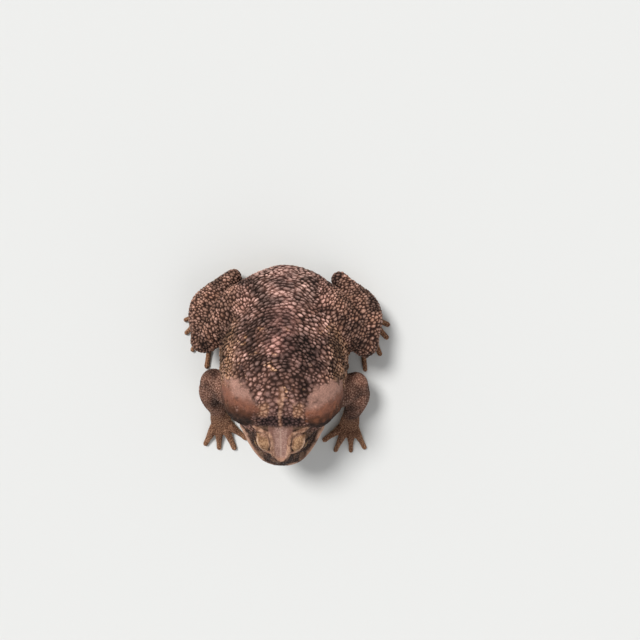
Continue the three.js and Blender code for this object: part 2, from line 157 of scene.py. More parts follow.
# Fore leg, on the toad's left: joints and the fingers' roots
SHOULDER = [50, -48, 56]
ELBOW = [88, -34, 42]
WRIST = [86, -82, 13]
UPPER_ARM_BEND = [71, -40, 51]
FOREARM_BEND = [91, -58, 28]
ARM_SIDE = [0.3, 0.2, 1]
UPPER_ARM = [[0, 19, 20], [0.5, 18, 19], [1, 14.5, 15]]
FOREARM = [[0, 15, 15], [0.3, 17, 16.5], [0.65, 13.5, 13], [1, 10.5, 9]]
PALM_LENGTH = 22
PALM = [[0, 9.5, 8], [0.45, 12.5, 7], [1, 13, 5.5]]
PALM_LEVELS = [8.5, 5.5]  # at its middle and at the fingers
HAND_YAW = 8  # degrees that the middle of the hand turns in from straight ahead
# Each finger: side step from the palm's middle, angle from it in degrees, and length
FINGERS = [[-9.5, -34, 29], [-3.5, -10, 32], [3, 13, 35], [9, 40, 29]]
# Levels along every finger and toe, over its knuckle and down to its tip, by share of its length
DIGIT_RISE = [[-0.12, 5], [0.25, 6], [0.6, 3.75], [1, 2]]
FINGER = [[0, 5.8, 5], [0.3, 5.2, 4.8], [0.6, 4.2, 4], [0.82, 3.6, 3.3], [1, 3.6, 3.1]]

# Hind leg, on the toad's left
HIP = [26, 74, 40]
KNEE = [98, 20, 42]
ANKLE = [66, 94, 19]
HEEL = [68, 88, 12]
INSTEP = [97, 44, 8]
THIGH_BEND = [66, 50, 44]
SHANK_BEND = [96, 62, 36]
TARSUS_BEND = [84, 66, 12]
LEG_SIDE = [0.1, 0.1, 1]
THIGH = [[0, 30, 30], [0.35, 29, 29], [0.7, 23, 24], [1, 17, 18]]
SHANK = [[0, 16, 16], [0.35, 20, 18.5], [0.7, 14.5, 14], [1, 10, 10]]
TARSUS = [[0, 9.5, 9.5], [0.5, 9, 8], [1, 13, 7.5]]
FOOT_YAW = -14  # degrees that the middle of the foot turns out from straight ahead
# Each toe: side step from the instep's middle, angle from it in degrees, and length
TOES = [[-10, -50, 25], [-6.5, -29, 37], [-1.5, -11, 53], [4, 6, 69], [9, 25, 46]]
TOE = [[0, 5.2, 4.8], [0.3, 4.6, 4.4], [0.65, 3.6, 3.4], [0.85, 3.1, 2.9], [1, 3.2, 2.8]]
WEB_REACH = 0.5  # share of the shorter toe
WEB_LEVELS = [1.0, 3.2]
WEB_FACES = [16, 14]  # across and out

# The grid that the forms are blended on
VOXEL = 1.2
BAND = 14.4  # distances further than this from a form aren't worked out
GRID_LOW = np.round(np.array([-150, -160, -24]) / VOXEL).astype(int)
GRID_HIGH = np.round(np.array([150, 132, 144]) / VOXEL).astype(int)

# Warts of each region: spacing across and how much longer they are than wide, then height
WARTS = {
    "back": (3.1, 1.8, 1.9),
    "shoulder": (3.7, 1.35, 2),
    "flank": (2.8, 1.5, 1.6),
    "belly": (2.7, 1, 0.5),
    "thigh": (2.8, 1.6, 1.7),
    "upper_arm": (2.1, 1.15, 0.6),
    "shank": (2.9, 1.4, 1.3),
    "forearm": (1.9, 1.15, 0.5),
    "hand": (1.7, 1, 0.28),
    "nape": (3, 1.1, 1),
    "gland": (3.1, 1, 0),
    "throat": (2.4, 1, 0.32),
    "neck": (2.2, 1.1, 0.7),
    "cheek": (2.4, 1, 0.35),
    "lid": (1.9, 1, 0.4),
    "plate": (1.8, 1, 0.14),
    "lip": (2, 1, 0.06),
}
WART_SIZES = (0.68, 0.7)  # least share of that spacing, and how much more the greatest is
WART_WIDTHS = (0.6, 0.9)  # half width as a share of its own spacing
WART_FOOT = 0.4  # share of each wart's height that lies below the smooth skin
WART_SAMPLE = 0.6  # share of the skin's points that warts may stand on
ROW_STEP = 3.9  # between the rows that the warts of the back lie in
LARGE_WARTS = {"spacing": 19, "radius": (3.2, 5), "height": 2.6, "tries": 30000}
# The large dark warts behind the glands: to the left, back, and half width
SHOULDER_WARTS = [
    [-38, -3, 5.5],
    [-47, 3, 4],
    [-15, -24, 4.6],
    [-27, -17, 4],
    [42, -15, 5.5],
    [33, -6, 4.2],
    [15, -25, 4.4],
    [52, 0, 4.4],
]
# Folds of the skin, on the left: points along each, then its depth and half width
FOLDS = [
    ([[67, 30, 70], [74, 6, 60], [74, -18, 52], [66, -36, 46]], 1.5, 3),
    ([[52, -66, 66], [47, -76, 46], [30, -82, 28], [0, -84, 22]], 1.4, 2.4),
    ([[44, -12, 97], [58, -6, 84], [68, -8, 70]], 0.9, 2.6),
    ([[10, 100, 66], [14, 88, 84], [20, 70, 98], [24, 52, 108]], 1.3, 3.4),
]
NEIGHBOURS = 7  # warts tried for the nearest to each point

# Distances from its form over which each region fades out
FADE = (0.5, 3)
LONG_FADES = dict.fromkeys(("head", "upper_arm", "forearm", "thigh"), (2, 6))

# Tones of the back and legs, laid on in this order: how much of the tone shows and its colour,
# on the tips of the warts, on their sides and between them. The pale tips are partly the warts'
# own colour and partly painted highlight; the dark between them is partly the skin's own colour
# and partly painted shade
TONES = [
    ["shoulder", (0.5, 0.56, 0.415, 0.37), (0.4, 0.38, 0.265, 0.23), (0.65, 0.25, 0.165, 0.135)],
    ["red", (0.7, 0.63, 0.465, 0.43), (0.7, 0.455, 0.315, 0.285), (0.7, 0.25, 0.15, 0.13)],
    ["dark", (0.8, 0.46, 0.34, 0.31), (0.85, 0.21, 0.14, 0.12), None],
    ["legs", (0.4, 0.62, 0.46, 0.41), None, (0.5, 0.20, 0.12, 0.095)],
    ["rump", (0.45, 0.80, 0.66, 0.61), (0.4, 0.45, 0.33, 0.29), None],
    ["ochre", (0.5, 0.74, 0.57, 0.42), (0.45, 0.42, 0.29, 0.18), None],
    ["cream", (0.9, 0.90, 0.72, 0.57), (0.7, 0.60, 0.42, 0.30), None],
    ["arms", (0.85, 0.48, 0.355, 0.305), (0.85, 0.37, 0.26, 0.215), (0.9, 0.28, 0.18, 0.145)],
    ["hands", (0.85, 0.58, 0.43, 0.33), (0.85, 0.46, 0.325, 0.24), (0.85, 0.33, 0.21, 0.155)],
    ["soles", (0.7, 0.68, 0.51, 0.38), (0.7, 0.56, 0.40, 0.29), None],
]
# Grain too fine for the mesh, in lumps to the metre, and how far it stands in metres
GRAIN = {"Scale": 900, "Detail": 3, "Roughness": 0.6}
PEBBLES = 1300
BUMPS = {"Strength": 0.7, "Distance": 0.0006}
SKIN_GLOSS = 0.18
EYE_GLOSS = 0.13
EYE_ROUGHNESS = 0.07
EYE_BULGE = 0.07  # share that the clear front stands proud

# Width over which each form runs into what comes before it
BLENDS = {
    "trunk": 1,
    "head": 8,
    "thigh": 6,
    "upper_arm": 8,
    "forearm": 5,
    "hand": 4,
    "shank": 2.5,
    "foot": 3,
    "gland": 6,
    "lid": 1.6,
    "crest": 2,
}
LID_EDGE = 1
FLOOR_EDGE = 1.5

# Camera, as it looks on the toad's back in the photograph
FRAME_WIDTH = 640  # pixels
VIEW_ANGLE = math.radians(50)
CAMERA_TILT = math.radians(11)  # back from straight above
CAMERA_ROLL = math.radians(1.3)
CAMERA_DISTANCE = 785  # to the middle of the back
BACK_MIDDLE = np.array([0, 20, 100])
BACK_MIDDLE_PIXEL = [282, 352]

# Brightness all round the floor's far edge, and overhead
HORIZON = 0.9
SKY = 0.4
SKY_COLOUR = (0.97, 0.98, 1, 1)
# Each light: where it comes from, its spread in degrees and its strength
LIGHTS = {"key": [(-0.5, 0.65, 0.92), 18, 3.5], "fill": [(0.7, -0.9, 0.8), 60, 0.5]}
FLOOR_REACH = 40  # metres
FLOOR_LOOK = {"Base Color": (0.62, 0.62, 0.605, 1), "Roughness": 0.9}


def between(table, x):
    """Smooth values between the rows of a table whose first column rises."""
    x = np.asarray(x, float)
    keys = np.array([row[0] for row in table], float)
    values = np.array([[np.broadcast_to(c, x.shape) for c in row[1:]] for row in table], float)
    last = len(keys) - 1
    slopes = np.empty_like(values)
    for i in range(last + 1):
        low, high = max(i - 1, 0), min(i + 1, last)
        slopes[i] = (values[high] - values[low]) / (keys[high] - keys[low])
    k = np.clip(np.searchsorted(keys, x) - 1, 0, last - 1)
    span = keys[k + 1] - keys[k]
    t = np.clip((x - keys[k]) / span, 0, 1)
    s = 1 - t

    def row(of, step):
        return np.take_along_axis(of, (k + step)[None, None], axis=0)[0]

    return (
        s * s * (1 + 2 * t) * row(values, 0)
        + t * t * (3 - 2 * t) * row(values, 1)
        + s * s * t * span * row(slopes, 0)
        - t * t * s * span * row(slopes, 1)
    )


def rounding(distance, length, power=2):
    """How much of its width a form keeps at a distance from its rounded end."""
    left = np.clip(1 - distance / length, 0, 1)
    return (1 - left**power) ** (1 / power)


def ramp(x, low, high):
    """A smooth rise from 0 at low to 1 at high."""
    t = np.clip((x - low) / (high - low), 0, 1)
    return t * t * (3 - 2 * t)


def fall(x, low, high):
    """A smooth fall from 1 at low to 0 at high."""
    return 1 - ramp(x, low, high)


def ridge(reach, width):
    """A rounded ridge or groove, from 1 in its middle to 0 away from it."""
    return np.exp(-((reach / width) ** 2))


def unit(a):
    a = np.asarray(a, float)
    return a / np.linalg.norm(a, axis=-1, keepdims=True)


def blended(grid, base, t):
    """Values between the eight places of a grid round each point, t of the way along each axis."""
    total = np.zeros(len(base))
    for corner in np.ndindex(2, 2, 2):
        weight = np.prod(np.where(corner, t, 1 - t), axis=1)
        total += weight * grid[tuple(((base + corner) % grid.shape).T)]
    return total


def lumps(points, size, seed):
    """Smooth random values from -1 to 1, in lumps of a size in mm."""
    grid = np.random.default_rng(SEED + seed).uniform(-1, 1, LUMP_GRID)
    q = points / size + LUMP_START
    base = np.floor(q).astype(int)
    return blended(grid, base, ramp(q - base, 0, 1))


def mix(a, b, share):
    """Rows of values between two others, by each point's share."""
    share = share[:, None]
    return a * (1 - share) + b * share


def srgb(r, g, b):
    """A colour as the eye sees it, as the shader takes it."""
    c = np.array([r, g, b], float)
    return np.where(c <= 0.04045, c / 12.92, ((c + 0.055) / 1.055) ** 2.4)


def shade(dark, pale, share):
    """Colours between two as the eye sees them."""
    return mix(srgb(*dark), srgb(*pale), share)


def toned(colour, tone, share):
    """Colours with a share of a tone as the eye sees it."""
    return mix(colour, srgb(*tone), share)


# Closed forms, each a list of points with its triangles and its four-sided faces
def shell(surface, columns, rows):
    """A closed form over a surface whose u runs round it and v along it."""
    u, v = np.meshgrid(np.arange(columns) / columns, np.linspace(0, 1, rows + 1))
    grid = surface(u, v)
    points = np.vstack([grid[1:-1].reshape(-1, 3), grid[0].mean(0), grid[-1].mean(0)])
    index = np.arange((rows - 1) * columns).reshape(rows - 1, columns)
    right = np.roll(index, -1, axis=1)
    quads = np.stack([index[:-1], right[:-1], right[1:], index[1:]], -1).reshape(-1, 4)
    start, end = len(points) - 2, len(points) - 1
    first = np.stack([np.full(columns, start), right[0], index[0]], -1)
    final = np.stack([np.full(columns, end), index[-1], right[-1]], -1)
    return points, np.vstack([first, final]), quads


def curve(points, steps=60):
    """Points along a bent line, and how far along it each is."""
    p = np.array(points, float)
    p = np.vstack([2 * p[0] - p[1], p, 2 * p[-1] - p[-2]])
    gaps = np.linalg.norm(np.diff(p, axis=0), axis=1) ** 0.5
    t = np.linspace(0, 1, steps, endpoint=False)[:, None]
    parts = []
    for i in range(1, len(p) - 2):
        a, b, c, d = p[i - 1 : i + 3]
        g, h, j = gaps[i - 1 : i + 2]
        leave = h * ((b - a) / g - (c - a) / (g + h) + (c - b) / h)
        arrive = h * ((c - b) / h - (d - b) / (h + j) + (d - c) / j)
        square = 3 * (c - b) - 2 * leave - arrive
        cube = 2 * (b - c) + leave + arrive
        parts.append(b + t * leave + t**2 * square + t**3 * cube)
    line = np.vstack(parts + [p[-2:-1]])
    reach = np.concatenate([[0], np.cumsum(np.linalg.norm(np.diff(line, axis=0), axis=1))])
    return line, reach


def nearest_on(line, points):
    """How far points are from a bent line, and how far along it the nearest place is."""
    best = np.full(len(points), np.inf)
    share = np.zeros(len(points))
    for k, (start, end) in enumerate(zip(line, line[1:])):
        step = end - start
        t = np.clip((points - start) @ step / (step @ step), 0, 1)
        reach = np.linalg.norm(points - start - t[:, None] * step, axis=1)
        nearer = reach < best
        best[nearer] = reach[nearer]
        share[nearer] = (k + t[nearer]) / (len(line) - 1)
    return best, share


def limb(points, radii, side=(0, 0, 1), columns=28, rows=44):
    """A limb along a bent line, with round ends: radii are [share of length, across, deep]."""
    line, reach = curve(points)
    length = reach[-1]
    directions = unit(np.gradient(line, reach, axis=0))
    first, final = radii[0][1], radii[-1][1]
    arc = math.pi / 2
    total = arc * first + length + arc * final

    def surface(u, v):
        d = v * total
        t = np.clip((d - arc * first) / length, 0, 1)
        early, late = d < arc * first, d > arc * first + length
        turn = np.where(early, d / first, np.where(late, (total - d) / final, arc))
        shift = np.where(early, -first, np.where(late, final, 0)) * np.cos(turn)
        across, deep = between(radii, t)
        place, along = (
            np.stack([np.interp(t * length, reach, column) for column in values.T], -1)
            for values in (line, directions)
        )
        along = unit(along)
        high = unit(side - along * (along @ np.array(side, float))[..., None])
        wide = np.cross(along, high)
        angle = -2 * math.pi * u
        return (
            place
            + along * shift[..., None]
            + wide * (across * np.cos(angle) * np.sin(turn))[..., None]
            + high * (deep * np.sin(angle) * np.sin(turn))[..., None]
        )

    return shell(surface, columns, rows)


def axes(out, along=(0, 1, 0)):
    """Three directions square to each other: out, as near as can be along, and across."""
    x = unit(out)
    y = unit(np.array(along) - x * (x @ np.array(along)))
    return np.array([x, y, np.cross(x, y)])


def ball(place, half, out, along=(0, 1, 0)):
    """A stretched ball, whose half sizes run out, along and across."""

    def surface(u, v):
        around, down = 2 * math.pi * u, math.pi * v
        wide = np.sin(down)
        local = np.stack([wide * np.cos(around), wide * np.sin(around), np.cos(down)], -1)
        return np.array(place) + (local * np.array(half)) @ axes(out, along)

    return shell(surface, 48, 32)


def both(forms):
    """Forms on the left, with their like on the right."""
    return forms + [(points * [-1, 1, 1], faces[:, ::-1], quads[:, ::-1]) for points, faces, quads in forms]


# Trunk
def trunk_surface(u, v):
    y = RUMP + (THROAT - RUMP) * (v - 0.5 * np.sin(2 * math.pi * v) / (2 * math.pi))
    wide, high, under, widest = between(TRUNK, y / BODY_LENGTH)
    keep = rounding(RUMP - y, RUMP_ROUNDING) * rounding(y - THROAT, THROAT_ROUNDING)
    side = (1 - BACK_SHARE) / 2
    angle = np.select(
        [u < side, u > 1 - side],
        [math.pi / 2 * (u / side - 1), math.pi + math.pi / 2 * ((u - 1 + side) / side)],
        math.pi * (u - side) / BACK_SHARE,
    )
    back = (angle > 0) & (angle < math.pi)
    power = 2 / np.where(back, BACK_SQUARENESS, BELLY_SQUARENESS)
    reach = np.where(back, high * BODY_HEIGHT - widest, widest - under)
    half = wide * BODY_WIDTH / 2
    cos, sin = np.cos(angle), np.sin(angle)
    x = half * np.sign(cos) * np.abs(cos) ** power * keep
    z = widest + reach * np.sign(sin) * np.abs(sin) ** power * keep
    return np.stack([x, y, z], -1)


# Head
HEAD_TURN = np.array(Matrix.Rotation(HEAD_PITCH, 3, "X"))


def from_head(local):
    return np.asarray(local, float) @ HEAD_TURN.T + HEAD_PLACE


def to_head(points):
    return (points - HEAD_PLACE) @ HEAD_TURN


def skull_outline(w, y):
    """A point on the half outline of the skull, from its middle below to its middle above."""
    lip, canthus, top, mouth = between(SKULL, y)
    knots = [
        [0, 0, mouth],
        [0.16, lip * 0.6, mouth],
        [0.27, lip - 1.2, mouth + 0.2],
        [0.33, lip, mouth + 2.6],
        [0.42, lip - 1.2, mouth + 6.5],
        [0.58, canthus + 0.5 * (lip - canthus), mouth + 0.6 * (top - mouth)],
        [0.75, canthus + 2.5, top - 1.6],
        [0.82, canthus - 0.5, top],
        [1, 0, top - 1.4],
    ]
    return between(knots, w)


def jaw_outline(w, y):
    half, depth = between(JAW, y)
    mouth = between(SKULL, y)[3]
    knots = [
        [0, 0, mouth],
        [0.3, half - 1.5, mouth],
        [0.38, half, mouth - 2.5],
        [0.6, half * 0.86, mouth - 0.55 * depth],
        [0.8, half * 0.5, mouth - 0.92 * depth],
        [1, 0, mouth - depth],
    ]
    return between(knots, w)


def head_form(outline, middle, columns, rows):
    def surface(u, v):
        closing = np.clip((1 - v) / NECK_CLOSING, 0, 1)
        y = HEAD_LENGTH * np.clip(v / (1 - NECK_CLOSING), 0, 1) ** SNOUT_CROWDING
        x, z = outline(np.where(u < 0.5, 2 * u, 2 - 2 * u), y)
        keep = rounding(y, SNOUT_ROUNDING, SNOUT_SQUARENESS) * np.sqrt(closing)
        side = np.where(u < 0.5, -1, 1)
        return from_head(np.stack([side * x * keep, y, middle + (z - middle) * keep], -1))

    return shell(surface, columns, rows)


def crest(line):
    return limb(from_head(line["points"]), line["radii"], columns=16, rows=40)


def lid_opening():
    place = np.array(EYE["place"]) + np.array(EYE["out"]) * LID_OPENING["reach"]
    place[2] += LID_OPENING["drop"]
    return ball(from_head(place), LID_OPENING["half"], EYE["out"])


# Legs
def digit(root, yaw, length, radii):
    """A digit that rises over its knuckle and comes down to its tip."""
    along = np.array([-math.sin(yaw), -math.cos(yaw)])
    places = [[*(np.array(root) + along * length * share), z] for share, z in DIGIT_RISE]
    return limb(places, radii, columns=16, rows=40)


def fan(middle, yaw, digits):
    """The roots of a fan of digits, with their angles and lengths."""
    sideways = np.array([-math.cos(yaw), math.sin(yaw)])
    return [
        (np.array(middle[:2]) + step * sideways, yaw + math.radians(angle), length)
        for step, angle, length in digits
    ]


def hand():
    yaw = math.radians(HAND_YAW)
    x, y = WRIST[0] - math.sin(yaw) * PALM_LENGTH, WRIST[1] - math.cos(yaw) * PALM_LENGTH
    bend = [(WRIST[0] + x) / 2, (WRIST[1] + y) / 2, PALM_LEVELS[0]]
    palm = limb([WRIST, bend, [x, y, PALM_LEVELS[1]]], PALM)
    return [palm] + [digit(*finger, FINGER) for finger in fan([x, y], yaw, FINGERS)]


def web(a, b):
    """A web between two toes, with a hollow edge."""
    reach = WEB_REACH * min(a[2], b[2])

    def at(toe, share):
        root, yaw, _ = toe
        return root - np.array([math.sin(yaw), math.cos(yaw)]) * reach * share

    hollow = (at(a, 0.55) + at(b, 0.55)) / 2
    t = np.linspace(0, 1, WEB_FACES[0] + 1)[:, None]
    inner = (1 - t) * at(a, -0.3) + t * at(b, -0.3)
    outer = (1 - t) ** 2 * at(a, 1.25) + 2 * t * (1 - t) * hollow + t**2 * at(b, 1.25)
    share = np.linspace(0, 1, WEB_FACES[1] + 1)[:, None, None]
    flat = inner * (1 - share) + outer * share
    layers = [np.dstack([flat, np.full(flat.shape[:2], level)]) for level in WEB_LEVELS]
    count = flat.shape[0] * flat.shape[1]
    index = np.arange(count).reshape(flat.shape[:2])
    faces = np.stack([index[:-1, :-1], index[1:, :-1], index[1:, 1:], index[:-1, 1:]], -1).reshape(-1, 4)
    rim = np.concatenate([index[0, :-1], index[:-1, -1], index[-1, :0:-1], index[:0:-1, 0]])
    after = np.roll(rim, -1)
    wall = np.stack([rim, after, after + count, rim + count], -1)
    quads = np.vstack([faces, faces[:, ::-1] + count, wall])
    points = np.vstack([layer.reshape(-1, 3) for layer in layers])
    return points, np.empty((0, 3), int), quads


def foot():
    tarsus = limb([HEEL, TARSUS_BEND, INSTEP], TARSUS)
    roots = fan(INSTEP, math.radians(FOOT_YAW), TOES)
    webs = [web(a, b) for a, b in zip(roots, roots[1:])]
    return [tarsus] + [digit(*toe, TOE) for toe in roots] + webs


# Distances from forms on the grid
class Form:
    """Closed forms, as distances on the part of the grid near them."""

    def __init__(self, forms):
        counts = np.cumsum([0] + [len(form[0]) for form in forms])
        points = np.vstack([form[0] for form in forms])
        triangles, quads = (
            np.vstack([form[k] + count for form, count in zip(forms, counts)]).astype(np.uint32)
            for k in (1, 2)
        )
        self.low, high = (
            np.clip(edge.astype(int), GRID_LOW, GRID_HIGH)
            for edge in (np.floor((points.min(0) - BAND) / VOXEL), np.ceil((points.max(0) + BAND) / VOXEL))
        )
        grid = vdb.FloatGrid.createLevelSetFromPolygons(
            points.astype(np.float32),
            triangles=triangles,
            quads=quads,
            transform=vdb.createLinearTransform(VOXEL),
            halfWidth=BAND / VOXEL,
        )
        self.values = np.empty(high - self.low, np.float32)
        grid.copyToArray(self.values, ijk=tuple(int(n) for n in self.low))
        self.block = tuple(slice(a, b) for a, b in zip(self.low - GRID_LOW, high - GRID_LOW))

    def at(self, points):
        """Distances at any points, and the band's width away from the form."""
        q = points / VOXEL - self.low
        inside = np.all((q >= 0) & (q < np.array(self.values.shape) - 1), axis=1)
        base = np.floor(q[inside]).astype(int)
        result = np.full(len(points), BAND, float)
        result[inside] = blended(self.values, base, q[inside] - base)
        return result


def merged(a, b, soft):
    """The nearer of two distances, with the crease between them filled over a width."""
    h = np.clip(soft - np.abs(a - b), 0, None) / soft
    return np.minimum(a, b) - h * h * soft / 4


def shape_toad():
    """The whole toad without its eyes, and the forms that its regions are told by."""
    forms = {
        "trunk": [shell(trunk_surface, 160, 140)],
        "head": [
            head_form(skull_outline, SKULL_MIDDLE, 160, 110),
            head_form(jaw_outline, JAW_MIDDLE, 120, 80),
        ],
        "thigh": both([limb([HIP, THIGH_BEND, KNEE], THIGH, LEG_SIDE)]),
        "upper_arm": both([limb([SHOULDER, UPPER_ARM_BEND, ELBOW], UPPER_ARM, ARM_SIDE)]),
        "forearm": both([limb([ELBOW, FOREARM_BEND, WRIST], FOREARM, ARM_SIDE)]),
        "hand": both(hand()),
        "shank": both([limb([KNEE, SHANK_BEND, ANKLE], SHANK, LEG_SIDE)]),
        "foot": both(foot()),
        "gland": both([ball(GLAND["place"], GLAND["half"], GLAND["out"], GLAND["along"])]),
        "lid": both([ball(from_head(LID["place"]), LID["half"], LID["out"])]),
        "crest": both([crest(line) for line in CRESTS]),
        "opening": both([lid_opening()]),
    }
    forms = {name: Form(parts) for name, parts in forms.items()}
    clay = np.full(GRID_HIGH - GRID_LOW, BAND, np.float32)
    for name, soft in BLENDS.items():
        form = forms[name]
        clay[form.block] = merged(clay[form.block], form.values, soft)
    opening = forms["opening"]
    clay[opening.block] = -merged(-clay[opening.block], opening.values, LID_EDGE)
    floor = (np.arange(GRID_LOW[2], GRID_HIGH[2]) * VOXEL)[None, None, :]
    return -merged(-clay, floor, FLOOR_EDGE), forms


def surface_of(clay):
    """The points and four-sided faces of the surface where a block of distances is nought."""
    grid = vdb.FloatGrid(BAND)
    grid.transform = vdb.createLinearTransform(VOXEL)
    grid.copyFromArray(clay, ijk=tuple(int(n) for n in GRID_LOW))
    points, quads = grid.convertToQuads(isovalue=0.0)
    return points.astype(float), quads.astype(int)


def gathered(groups, rows, count):
    """At each place, the mean of the rows whose groups hold it."""
    places = groups.ravel()
    rows = np.repeat(rows, groups.shape[1], axis=0)
    shares = np.maximum(np.bincount(places, minlength=count), 1)
    return np.stack([np.bincount(places, row, count) / shares for row in rows.T], -1)


def refined(points, quads):
    """One step of smooth subdivision of a closed surface of four-sided faces."""
    count = len(points)
    middles = points[quads].mean(1)
    ends = np.sort(np.stack([quads, np.roll(quads, -1, axis=1)], -1).reshape(-1, 2), axis=1)
    keys, which = np.unique(ends[:, 0] * count + ends[:, 1], return_inverse=True)
    which = which.reshape(-1, 4)
    ends = np.stack([keys // count, keys % count], -1)
    edge_middles = points[ends].mean(1)
    edge_points = (edge_middles + gathered(which, middles, len(keys))) / 2
    faces_round = np.bincount(quads.ravel(), minlength=count)[:, None]
    moved = gathered(quads, middles, count) + 2 * gathered(ends, edge_middles, count)
    moved = (moved + (faces_round - 3) * points) / faces_round
    which = which + count
    centres = np.arange(len(quads)) + count + len(keys)
    corners = [np.stack([quads[:, k], which[:, k], centres, which[:, k - 1]], -1) for k in range(4)]
    return np.vstack([moved, edge_points, middles]), np.vstack(corners)


def surface_normals(points, quads):
    corners = points[quads]
    faces = np.cross(corners[:, 2] - corners[:, 0], corners[:, 3] - corners[:, 1])
    return unit(gathered(quads, faces, len(points)) + 1e-12)


# Regions of the skin
def find_regions(points, normals, local, gaps):
    """How much each point belongs to each region, from 0 to 1."""
    on = {name: fall(gap, *LONG_FADES.get(name, FADE)) for name, gap in gaps.items()}
    x, y, z = np.abs(points[:, 0]), points[:, 1], points[:, 2]
    side, back, up = np.abs(local[:, 0]), local[:, 1], local[:, 2]
    down = -normals[:, 2]
    ragged = 0.35 * lumps(points, 6, 25) + 0.3 * lumps(points, 13, 26)
    rough = 1.3 * lumps(points, 4, 12) + 0.8 * lumps(points, 9, 13)
    front = fall(y, -60, -36)
    belly = ramp(down + 0.3 * front + ragged, 0.0, 0.5) * fall(z, 18 + 20 * front, 42 + 26 * front)
    nape = fall(x, 20, 28) * fall(y, -50, -38) * ramp(normals[:, 2], -0.1, 0.5)
    head = np.maximum(on["head"], np.maximum(on["lid"], on["crest"]))
    head = head * fall(back, 58, 64) * (1 - on["gland"])
    lip, _, top, mouth = between(SKULL, back)
    over = up - mouth
    above = ramp(over, 0, 0.6)
    plate_half = between(PLATE, back)[0]
    regions = {
        "shoulder": fall(y + 8 * lumps(points, 15, 29), -8, 16),
        "flank": ramp(x, 45, 66),
        "belly": belly,
        "thigh": on["thigh"] * ramp(x, 30, 46),
        "upper_arm": on["upper_arm"] * (1 - on["gland"]),
        "shank": on["shank"],
        "forearm": on["forearm"],
        "hand": np.maximum(on["hand"], on["foot"] * (1 - on["shank"])),
        "nape": nape * ramp(back, 56, 60),
        "gland": fall(gaps["gland"] + rough, 0.2, 2.4),
        "throat": head * (1 - above),
        "neck": ramp(back, 44, 54) * fall(back, 84, 96) * ramp(side, 24, 32) * fall(up, 26, 34),
        "cheek": head * above,
        "plate": head * ramp(plate_half - side, -0.8, 0.8) * ramp(up - top, -5, -3) * ramp(back, 8, 10),
        "lip": head * ramp(over, 0.2, 0.8) * fall(over + rough, 4.6, 7.6) * ramp(side - lip, -9, -6),
    }

    # Lids, and the bone round them
    above_eye = head * ramp(up, 14, 17) * (1 - regions["plate"])
    inner, outer = between(LID_PATCH, back)
    uneven = 0.5 * lumps(points, 3, 24)
    inside = np.minimum(side - inner, outer - side) + uneven
    patch = above_eye * ramp(inside, -0.4, 0.5) * ramp(back, 25.5, 26.5) * fall(back, 57.5, 59)
    rear = ramp(back + 2 * uneven - 0.35 * (side - 20), 45, 48)
    regions["lid"] = patch * (1 - rear)
    lid_front = fall(outer - side, 1.4, 3.2) * fall(back, 41, 47)
    regions["lid_rim"] = regions["lid"] * np.maximum(fall(gaps["opening"], 1.5, 3.5), lid_front)
    bone = np.maximum(fall(gaps["crest"], 0.3, 1.5), patch * rear * ramp(up - top, -7, -4))
    regions["crest"] = head * bone * ramp(up, 13, 16) * ramp(back, 14, 24)
    inward = ramp(back, 26, 28) * fall(back, 46, 50) * fall(side, 20, 26)
    regions["lid_groove"] = above_eye * ridge(inside + 1.0, 0.75) * inward

    # Stripe on the nape, the pale underside, and where the warts lie in rows
    width = 1.7 + 1.9 * ramp(y, -46, -28) + 1.5 * lumps(points, 5, 8)
    along = fall(y, -20, -12) * ramp(z, 95, 100) * ramp(back, 56, 59)
    regions["stripe"] = fall(x, width - 1.1, width + 1.1) * along
    regions["under"] = np.maximum(belly, regions["throat"] * ramp(down + ragged, -0.1, 0.55))
    limbs = np.maximum.reduce([regions[name] for name in ("thigh", "shank", "upper_arm", "forearm", "hand")])
    rowed = (1 - limbs) * (1 - belly) * (1 - regions["gland"]) * (1 - 0.8 * regions["shoulder"])
    regions["rows"] = rowed * fall(x, 60, 74)
    return regions


# Warts and folds
def wart_values(regions, count):
    """Spacing, stretch and height of the warts at each point."""
    values = np.tile(np.array(WARTS["back"], float), (count, 1))
    for name, share in regions.items():
        if name in WARTS:
            values = mix(values, np.array(WARTS[name], float), share)
    return values.T


def wart_directions(points, normals, regions):
    """The way that the warts are drawn out at each point."""
    way = np.sign(points[:, :1])
    outward = np.clip(np.abs(points[:, 0]) / 25, 0, 1)
    line = np.stack([way[:, 0], -0.7 * outward, np.zeros(len(points))], -1)
    for name, start, end in (("thigh", HIP, KNEE), ("shank", KNEE, ANKLE), ("forearm", ELBOW, WRIST)):
        bone = unit(np.array(end) - np.array(start)) * np.hstack([way, way * 0 + 1, way * 0 + 1])
        line = mix(line, np.cross(normals, bone), regions[name])
    line = line - normals * np.sum(line * normals, axis=1, keepdims=True)
    return line / np.maximum(np.linalg.norm(line, axis=1, keepdims=True), 1e-6)


def wart_rows(points):
    """1 along the rows that cross the back and run outwards to the head, and 0 between them."""
    x = np.abs(points[:, 0])
    bent = 0.7 * np.where(x < 25, x**2 / 50, x - 12.5)
    phase = (points[:, 1] + bent + 4.5 * lumps(points, 16, 28) + 1.6 * lumps(points, 7, 36)) / ROW_STEP
    return 0.5 + 0.5 * np.cos(2 * math.pi * phase)


def tree_of(points):
    tree = kdtree.KDTree(len(points))
    for i, point in enumerate(points):
        tree.insert(point, i)
    tree.balance()
    return tree


def oval_squares(gap, direction, stretch):
    """Squares of distances, counted short along each wart by its stretch."""
    along = np.sum(gap * direction, axis=-1)
    return np.sum(gap**2, axis=-1) - along**2 * (1 - stretch**-2)


